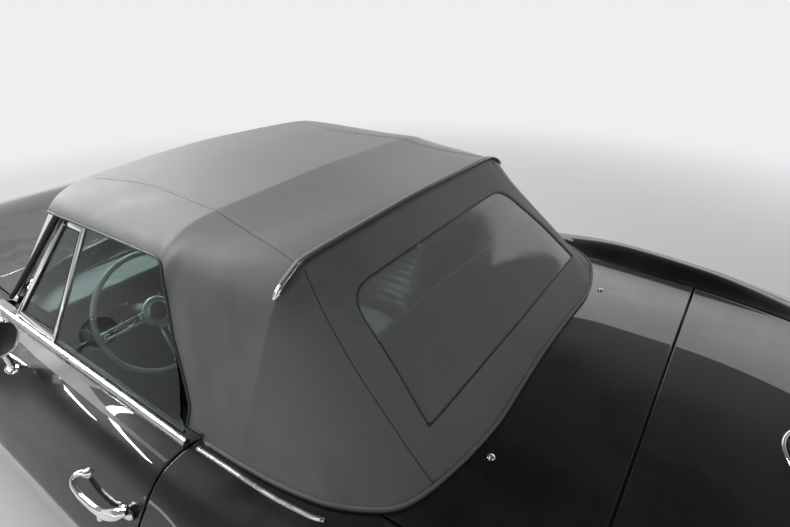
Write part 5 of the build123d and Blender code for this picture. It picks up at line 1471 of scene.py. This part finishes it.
def steering_wheel():
    """A thin pale rim, three slotted brushed spokes and a black horn button in a bright ring."""
    axis = Vector((0, math.cos(WHEEL_RAKE), math.sin(WHEEL_RAKE)))
    up = Vector((0, -math.sin(WHEEL_RAKE), math.cos(WHEEL_RAKE)))
    right = Vector((1, 0, 0))

    def at(radius, angle, rise=0.0):
        return WHEEL_HUB + (right * math.cos(angle) + up * math.sin(angle)) * radius + axis * rise

    rim = tube_mesh([at(0.1935, a) for a in turns(96)], 0.0088, 14, closed=True, up=axis)
    piece("Wheel_rim", rim, PALE_RIM, "steering_wheel", "brushed_spokes", ("steering_wheel",), sharp=0)
    parts = []
    for angle in (0.0, math.pi, 1.5 * math.pi):
        across = (at(1, angle + math.pi / 2) - WHEEL_HUB).normalized()
        for offset in (-0.0125, 0.0125):
            inner, outer = at(0.036, angle, -0.012), at(0.188, angle, -0.001)
            parts.append(bar_mesh(inner + across * offset, outer + across * offset * 0.8, 0.009, 0.0032, across,
                                  0.0012))
        for r0, r1 in ((0.036, 0.060), (0.168, 0.188)):
            parts.append(bar_mesh(at(r0, angle, -0.0118), at(r1, angle, -0.0118 + 0.011 * (r1 - 0.036) / 0.152),
                                  0.0335, 0.0033, across, 0.0012))
    parts.append(disc_mesh([(-0.016, 0.0), (-0.016, 0.047), (-0.010, 0.050), (-0.004, 0.046), (-0.002, 0.036),
                            (-0.002, 0.0)], WHEEL_HUB, axis, 40))
    piece("Wheel_spokes", joined(*parts), BRUSHED, "steering_wheel", "brushed_spokes")
    button = disc_mesh([(-0.004, 0.0), (-0.004, 0.030), (0.006, 0.0295), (0.011, 0.024), (0.013, 0.0)],
                       WHEEL_HUB, axis, 36)
    piece("Horn_button", button, DIAL, "steering_wheel", "interior_trim")
    ring = tube_mesh([at(0.0315, a, 0.003) for a in turns(48)], 0.0028, 8, closed=True, up=axis)
    piece("Horn_ring", ring, CHROME, "steering_wheel", "bright_metal", sharp=0)


def dashboard():
    """Dials with bright bezels over the panel's face, its padded brow, and the centre stack with its knobs."""
    rings, faces, marks = [], [], []
    out = Vector((0, 1, 0.12)).normalized()
    hand = Vector((0.5, 0, 0.7)).normalized()
    for x, z, r in ((0.302, 0.722, 0.056), (0.448, 0.722, 0.056), (0.375, 0.772, 0.024), (0.375, 0.676, 0.024),
                    (0.215, 0.700, 0.024), (0.535, 0.700, 0.024), (0.0, 0.745, 0.030)):
        middle = Vector((x, -0.3765 - (0.77 - z) * 0.1, z))
        rings.append(disc_mesh([(0.0, r), (0.0, r + 0.006), (0.007, r + 0.006), (0.011, r + 0.003), (0.010, r),
                                (0.002, r - 0.002)], middle, out, 40))
        faces.append(disc_mesh([(0.0005, 0.0), (0.0005, r), (0.002, r), (0.002, 0.0)], middle, out, 32))
        count = 24 if r > 0.04 else 8
        for k in range(count + 1):
            angle = math.radians(-135 + 270 * k / count)
            direction = Vector((-math.sin(angle), 0, math.cos(angle)))
            inset, length = (0.012, 0.008) if k % 4 == 0 else (0.009, 0.005)
            start = middle + out * 0.0025 + direction * (r - inset)
            marks.append(bar_mesh(start, start + direction * length, 0.0011, 0.0004, out.cross(direction),
                                  0.0001))
        foot = middle + out * 0.003
        marks.append(bar_mesh(foot, foot + hand * (r - 0.014), 0.0014, 0.0005, out.cross(hand), 0.0002))
    piece("Dial_bezels", joined(*rings), CHROME, slot="bright_metal")
    piece("Dial_faces", joined(*faces), DIAL, slot="interior_trim")
    piece("Dial_marks", joined(*marks), MARKS, slot="interior_trim", sharp=0)
    brow = block_mesh((-0.598, -0.365, 0.815), (0.598, -0.339, 0.846), 0.012, 4)
    stack = block_mesh((-0.085, -0.378, 0.600), (0.085, -0.362, 0.715), 0.006, 3)
    knob = [(0.0, 0.012), (0.012, 0.011), (0.014, 0.008), (0.014, 0.0)]
    knobs = [disc_mesh(knob, (x, -0.362, z), (0, 1, 0), 24)
             for x, z in ((-0.060, 0.690), (0.060, 0.690), (-0.035, 0.630), (0.0, 0.630), (0.035, 0.630))]
    piece("Dash_brow", joined(brow, stack), TRIM, slot="interior_trim")
    piece("Dash_knobs", joined(*knobs), BRUSHED, slot="bright_metal")


# Bright parts and lamps at the two ends

FRONT_BLADE = [(118, -2222), (420, -2196), (625, -2112), (738, -1986)]
REAR_BLADE = [(190, 2222), (590, 2221), (706, 2166), (783, 2030)]
BLADES = (("front", FRONT_BLADE, 0.462, 0.536), ("rear", REAR_BLADE, 0.400, 0.468))


def ring_mesh(centre, radius, thickness, normal, segments=48):
    normal = Vector(normal).normalized()
    side = normal.orthogonal().normalized()
    other = normal.cross(side)
    points = [Vector(centre) + (side * math.cos(a) + other * math.sin(a)) * radius for a in turns(segments)]
    return tube_mesh(points, thickness, 8, closed=True, up=normal)


def bumpers():
    """Bright blades with a crowned face and rolled edges, in two halves at each end."""
    for name, route, low, high in BLADES:
        middle, half = (low + high) / 2, (high - low) / 2
        chain, _ = rounded(np.array(route) * MM, (0.7, 0.7), 9)
        points = [Vector(p) for p in even_route([(x, y, middle) for x, y in chain], 0.02)]
        face = [(-0.0095, -half * 0.93), (-0.005, -half), (0.0005, -half * 0.93), (0.0050, -half * 0.55),
                (0.0072, 0.0), (0.0050, half * 0.55), (0.0005, half * 0.93), (-0.005, half),
                (-0.0095, half * 0.93)]

        def out_of(i):
            ahead, behind = points[min(i + 1, len(points) - 1)], points[max(i - 1, 0)]
            out = (ahead - behind).cross(Vector((0, 0, 1))).normalized()
            if out.dot(Vector((points[i].x, points[i].y * 0.5, 0))) < 0:
                out = -out
            return out, Vector((0, 0, 1))

        halves = [outwards(on_side(swept_mesh(points, face, out_of), side)) for side, _ in SIDES]
        piece("Bumpers_" + name, joined(*halves), CHROME, slot="bright_metal", stands_for=(name + "_bumpers",),
              sharp=55)


def end_details():
    """Rings round the lamps, the blank plate, the fenders' louvres, the arches' lips and the cowl's slots."""
    rings = [ring_mesh((side * x, 2.2255, 0.598), 0.060, 0.005, (0, 1, -0.15))
             for side, _ in SIDES for x in (0.262, 0.432)]
    rings += [ring_mesh((side * 0.540, -2.0905, 0.500), 0.037, 0.004, (0, -1, 0)) for side, _ in SIDES]
    piece("Lamp_rings", joined(*rings), CHROME, slot="bright_metal", sharp=0)
    plate = block_mesh((-0.152, 2.197, 0.322), (0.152, 2.200, 0.468), 0.004, 2)
    piece("Blank_plate", plate, PLATE, slot="bright_metal")
    frame_bars = [block_mesh((-0.160, 2.1955, z - 0.004), (0.160, 2.203, z + 0.004), 0.002, 2)
                  for z in (0.318, 0.472)]
    frame_bars += [block_mesh((x - 0.004, 2.1955, 0.318), (x + 0.004, 2.203, 0.472), 0.002, 2)
                   for x in (-0.156, 0.156)]
    piece("Plate_frame", joined(*frame_bars), CHROME, slot="bright_metal")
    slots = []
    slot_zs = np.linspace(0.470, 0.640, 9)
    slot_radii = [0.004, 0.008, *[0.009] * 5, 0.008, 0.004]
    for y in (-0.760 + 0.062 * k for k in range(3)):
        xs = widths_at(section_at(y)[:CREASE_COLUMN - 4], slot_zs)
        for side, _ in SIDES:
            way = [(side * (x + 0.0015), y + 0.02 * (z - 0.55), z) for x, z in zip(xs, slot_zs)]
            slots.append(tube_mesh(way, slot_radii, 12, up=(0, 1, 0), flat=2.2))
    piece("Fender_louvres", joined(*slots), PAINT, slot="black_paint")
    lips = []
    lip_radius, lowest_z = 0.361, 0.235
    for axle_y in (FRONT_AXLE_Y, REAR_AXLE_Y):
        way = []
        for k in range(61):
            angle = math.radians(-22 + 224 * k / 60)
            y, z = axle_y + lip_radius * math.cos(angle), WHEEL_ARCH_Z + lip_radius * math.sin(angle)
            if z >= lowest_z:
                way.append((float(widths_at(section_at(y)[:CREASE_COLUMN + 12], z)) - 0.003, y, z))
        lips.append(both_hands(lambda r: tube_mesh(even_route(r, 0.015), 0.0055, 8), way))
    piece("Arch_lips", joined(*lips), PAINT, slot="black_paint", sharp=0)
    vents = []
    tree = skin_tree(both_halves(BODY))
    for side, _ in SIDES:
        for k in range(12):
            x = side * (0.24 + 0.024 * k)
            y = -0.700 + 0.16 * (abs(x) - 0.24)
            points, normals = laid(tree, [(x, y - 0.020, 0.9), (x, y, 0.9), (x, y + 0.020, 0.9)], 0.0004)
            vents.append(strip_mesh(points, normals, half_round(0.009, 0.0012, 0.0005)))
    piece("Cowl_slots", joined(*vents), SEAL, slot="interior_trim", sharp=0)


# Wheels and tyres

def wheels():
    """The four wheels with their tyres."""
    places = (("front_left", 1, FRONT_AXLE_Y, FRONT_TRACK), ("front_right", -1, FRONT_AXLE_Y, FRONT_TRACK),
              ("rear_left", 1, REAR_AXLE_Y, REAR_TRACK), ("rear_right", -1, REAR_AXLE_Y, REAR_TRACK))
    for name, side, axle_y, track in places:
        wheel(name, side, Vector((side * track / 2, axle_y, TYRE_RADIUS)))


def tyre_profile():
    """The tyre's outline from its inner bead to its outer one: sidewalls, shoulders and ribs with grooves."""
    ribs_radius, groove = 0.3378, 0.006
    tread = [(-0.062, 0.3345)]
    for middle in (-0.044, -0.015, 0.015, 0.044):
        tread += [(middle - 0.0125, ribs_radius), (middle + 0.0125, ribs_radius)]
        if middle < 0.04:
            tread += [(middle + 0.0130, ribs_radius - groove), (middle + 0.0165, ribs_radius - groove)]
    tread.append((0.062, 0.3345))
    side = [(0.070, 0.328), (0.079, 0.312), (0.0845, 0.286), (0.0848, 0.262), (0.0838, 0.258), (0.0838, 0.252),
            (0.082, 0.232), (0.077, 0.212), (0.071, 0.2), (0.064, 0.191)]
    return [(-a, r) for a, r in side[::-1]] + tread + side


def wheel(name, side, centre):
    """One tyre, and its rim with a finned cover and three ears."""
    body = "wheel_" + name
    tyre = revolved_mesh([(side * a, r) for a, r in tyre_profile()], centre, "X", 88)
    piece("Tyre_" + name, tyre, RUBBER, body, "tyre_rubber", ("tyre_" + name,), sharp=30)
    rim = [(-0.066, 0.186), (-0.066, 0.1895), (-0.060, 0.182), (0.020, 0.176), (0.055, 0.183), (0.066, 0.1893),
           (0.0685, 0.197), (0.0668, 0.2035), (0.0645, 0.2), (0.062, 0.19)]
    cover = [(0.062, 0.192), (0.070, 0.186), (0.0725, 0.178), (0.071, 0.170), (0.062, 0.160), (0.055, 0.150),
             (0.053, 0.085), (0.058, 0.074), (0.064, 0.066), (0.0655, 0.058), (0.060, 0.050), (0.058, 0.044),
             (0.060, 0.040), (0.068, 0.030), (0.0695, 0.012), (0.0700, 0.0)]
    fins = (30, (0.050, -0.0035, 0.088), (0.0615, 0.0035, 0.152), 0.0025, 2)
    ears = (3, (0.060, -0.010, 0.0), (0.0695, 0.010, 0.062), 0.004, 3)
    shapes = [revolved_mesh([(side * a, r) for a, r in profile], centre, "X", 72) for profile in (rim, cover)]
    for count, low, high, radius, segments in (fins, ears):
        for turn in turns(count):
            bm = block_mesh(low, high, radius, segments)
            if side < 0:
                outwards(moved(bm, Matrix.Scale(-1, 4, (1, 0, 0))))
            shapes.append(moved(bm, Matrix.Translation(centre) @ Matrix.Rotation(turn, 4, "X")))
    piece("Wheel_cover_" + name, joined(*shapes), CHROME, body, "bright_metal", ("wheel_" + name,), sharp=35)


# The camera stands where the photograph was taken from, and the light is a plain soft studio's

CAMERA_PLACE = Vector((1.0519, 1.30625, 1.69655))
CAMERA_RIGHT = Vector((-0.57505121, 0.81784277, -0.02119685))
CAMERA_UP = Vector((-0.39466806, -0.25462222, 0.88283897))
CAMERA_LENS = 23.04


def camera():
    """The photograph's camera."""
    data = bpy.data.cameras.new("Camera")
    data.lens = CAMERA_LENS
    data.sensor_width = 36.0
    data.sensor_fit = "HORIZONTAL"
    data.clip_start = 0.02
    holder = linked("Camera", data)
    backwards = CAMERA_RIGHT.cross(CAMERA_UP)
    turn = Matrix((CAMERA_RIGHT, CAMERA_UP, backwards)).transposed().to_4x4()
    holder.matrix_world = Matrix.Translation(CAMERA_PLACE) @ turn
    bpy.context.scene.camera = holder


def lamp(name, place, aim, size, power):
    """A rectangular area lamp that looks at a point."""
    data = bpy.data.lights.new(name, "AREA")
    data.shape = "RECTANGLE"
    data.size, data.size_y = size
    data.energy = power
    holder = linked(name, data)
    holder.location = place
    holder.rotation_euler = (Vector(aim) - Vector(place)).to_track_quat("-Z", "Y").to_euler()


def surround():
    """The camera and glass see pale walls, reflections a dim ceiling too, and plain surfaces get even light."""
    world = bpy.context.scene.world or bpy.data.worlds.new("World")
    bpy.context.scene.world = world
    world.use_nodes = True
    tree = world.node_tree
    tree.nodes.clear()
    where = node(tree, "TexCoord")
    parts = node(tree, "SeparateXYZ", Vector=where.outputs["Generated"])
    walls = ramp(tree, parts.outputs["Z"], ((0.0, 0.86), (0.05, 0.62), (0.16, 0.36), (0.36, 0.30), (0.52, 0.24),
                                            (0.68, 0.14), (0.9, 0.06)))
    mirrored_walls = node(tree, "Background", Color=walls.outputs["Color"])
    pale = ramp(tree, parts.outputs["Z"], ((0.0, 0.86), (0.5, 0.80), (1.0, 0.70)))
    seen = node(tree, "Background", Color=pale.outputs["Color"])
    even = node(tree, "Background", values={"Color": (0.31, 0.315, 0.325, 1)})
    path = node(tree, "LightPath")
    either = node(tree, "Math", settings={"operation": "MAXIMUM"})
    tree.links.new(path.outputs["Is Camera Ray"], either.inputs[0])
    tree.links.new(path.outputs["Is Transmission Ray"], either.inputs[1])
    glossy = node(tree, "MixShader", Fac=path.outputs["Is Glossy Ray"])
    tree.links.new(even.outputs[0], glossy.inputs[1])
    tree.links.new(mirrored_walls.outputs[0], glossy.inputs[2])
    mix = node(tree, "MixShader", Fac=either.outputs[0])
    tree.links.new(glossy.outputs[0], mix.inputs[1])
    tree.links.new(seen.outputs[0], mix.inputs[2])
    out = tree.nodes.new("ShaderNodeOutputWorld")
    tree.links.new(mix.outputs[0], out.inputs["Surface"])


def studio():
    """A pale floor that fades into the surround, and large soft lamps."""
    made, tree, shader = material("Pale floor", (0.58, 0.58, 0.57), 0.6)
    where = node(tree, "TexCoord")
    reach = node(tree, "VectorMath", settings={"operation": "LENGTH"})
    tree.links.new(where.outputs["Object"], reach.inputs[0])
    fade = node(tree, "MapRange", settings={"interpolation_type": "SMOOTHSTEP"},
                values={"From Min": 2.6, "From Max": 6.5, "To Min": 1.0, "To Max": 0.0},
                Value=reach.outputs["Value"])
    tree.links.new(fade.outputs["Result"], shader.inputs["Alpha"])
    bm = bmesh.new()
    bmesh.ops.create_grid(bm, x_segments=2, y_segments=2, size=12.0)
    floor = linked("Floor", mesh_block("Floor", bm))
    floor.data.materials.append(made)
    surround()
    for k, (y, z) in enumerate(((-2.8, 3.35), (-3.6, 3.2), (-4.5, 3.0))):
        lamp(f"Ceiling_tube_{k}", (0.4, y, z), (0, -0.2, 1.1), (4.2, 0.10), 105)
    lamp("Long_overhead", (1.9, 0.3, 3.3), (0.3, 0.2, 0.9), (0.25, 5.5), 24)
    lamp("Wall_side", (-4.6, 0.2, 2.4), (0, 0.2, 0.9), (5.0, 1.6), 34)
    lamp("Side_strip", (4.4, 0.2, 0.9), (0.8, 0.1, 0.7), (6.0, 0.12), 6)
    lamp("Rear_fill", (1.6, 4.6, 2.4), (0, 0.6, 0.9), (2.4, 1.2), 14)
    bpy.context.scene.view_settings.view_transform = "Standard"


NODE_FINISH = {
    "front_valance": PAINT, "tail_panel": CHASSIS, "floor_tub": CARPET, "dashboard": TRIM, "console": TRIM,
    "steering_column": TRIM, "chassis_frame": CHASSIS, "front_suspension": CHASSIS, "rear_suspension": CHASSIS,
    "knuckle_left": CHASSIS, "knuckle_right": CHASSIS, "engine": IRON, "exhausts": STEEL,
    "filler_neck": CHASSIS, "top_frame": CHASSIS, "grille": CHROME, "front_lamps": CHROME,
    "tail_lamps": RED_LENS, "windshield_frame": CHROME, "windshield_glass": GLASS,
}


def dress_nodes():
    """The CAD nodes that stay as they are get their finish."""
    for name, finish in NODE_FINISH.items():
        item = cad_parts[name]
        item.data.materials.clear()
        item.data.materials.append(finish)
        item.data.shade_smooth()
        item.data.set_sharp_from_angle(angle=math.radians(30))


camera()
studio()
dress_nodes()
body_panels()
doors()
nose()
tail()
top_details(soft_top())
rear_window()
gutters()
for_each_door(door_parts)
mirror()
quarter_mouldings()
seats()
steering_wheel()
dashboard()
bumpers()
end_details()
wheels()
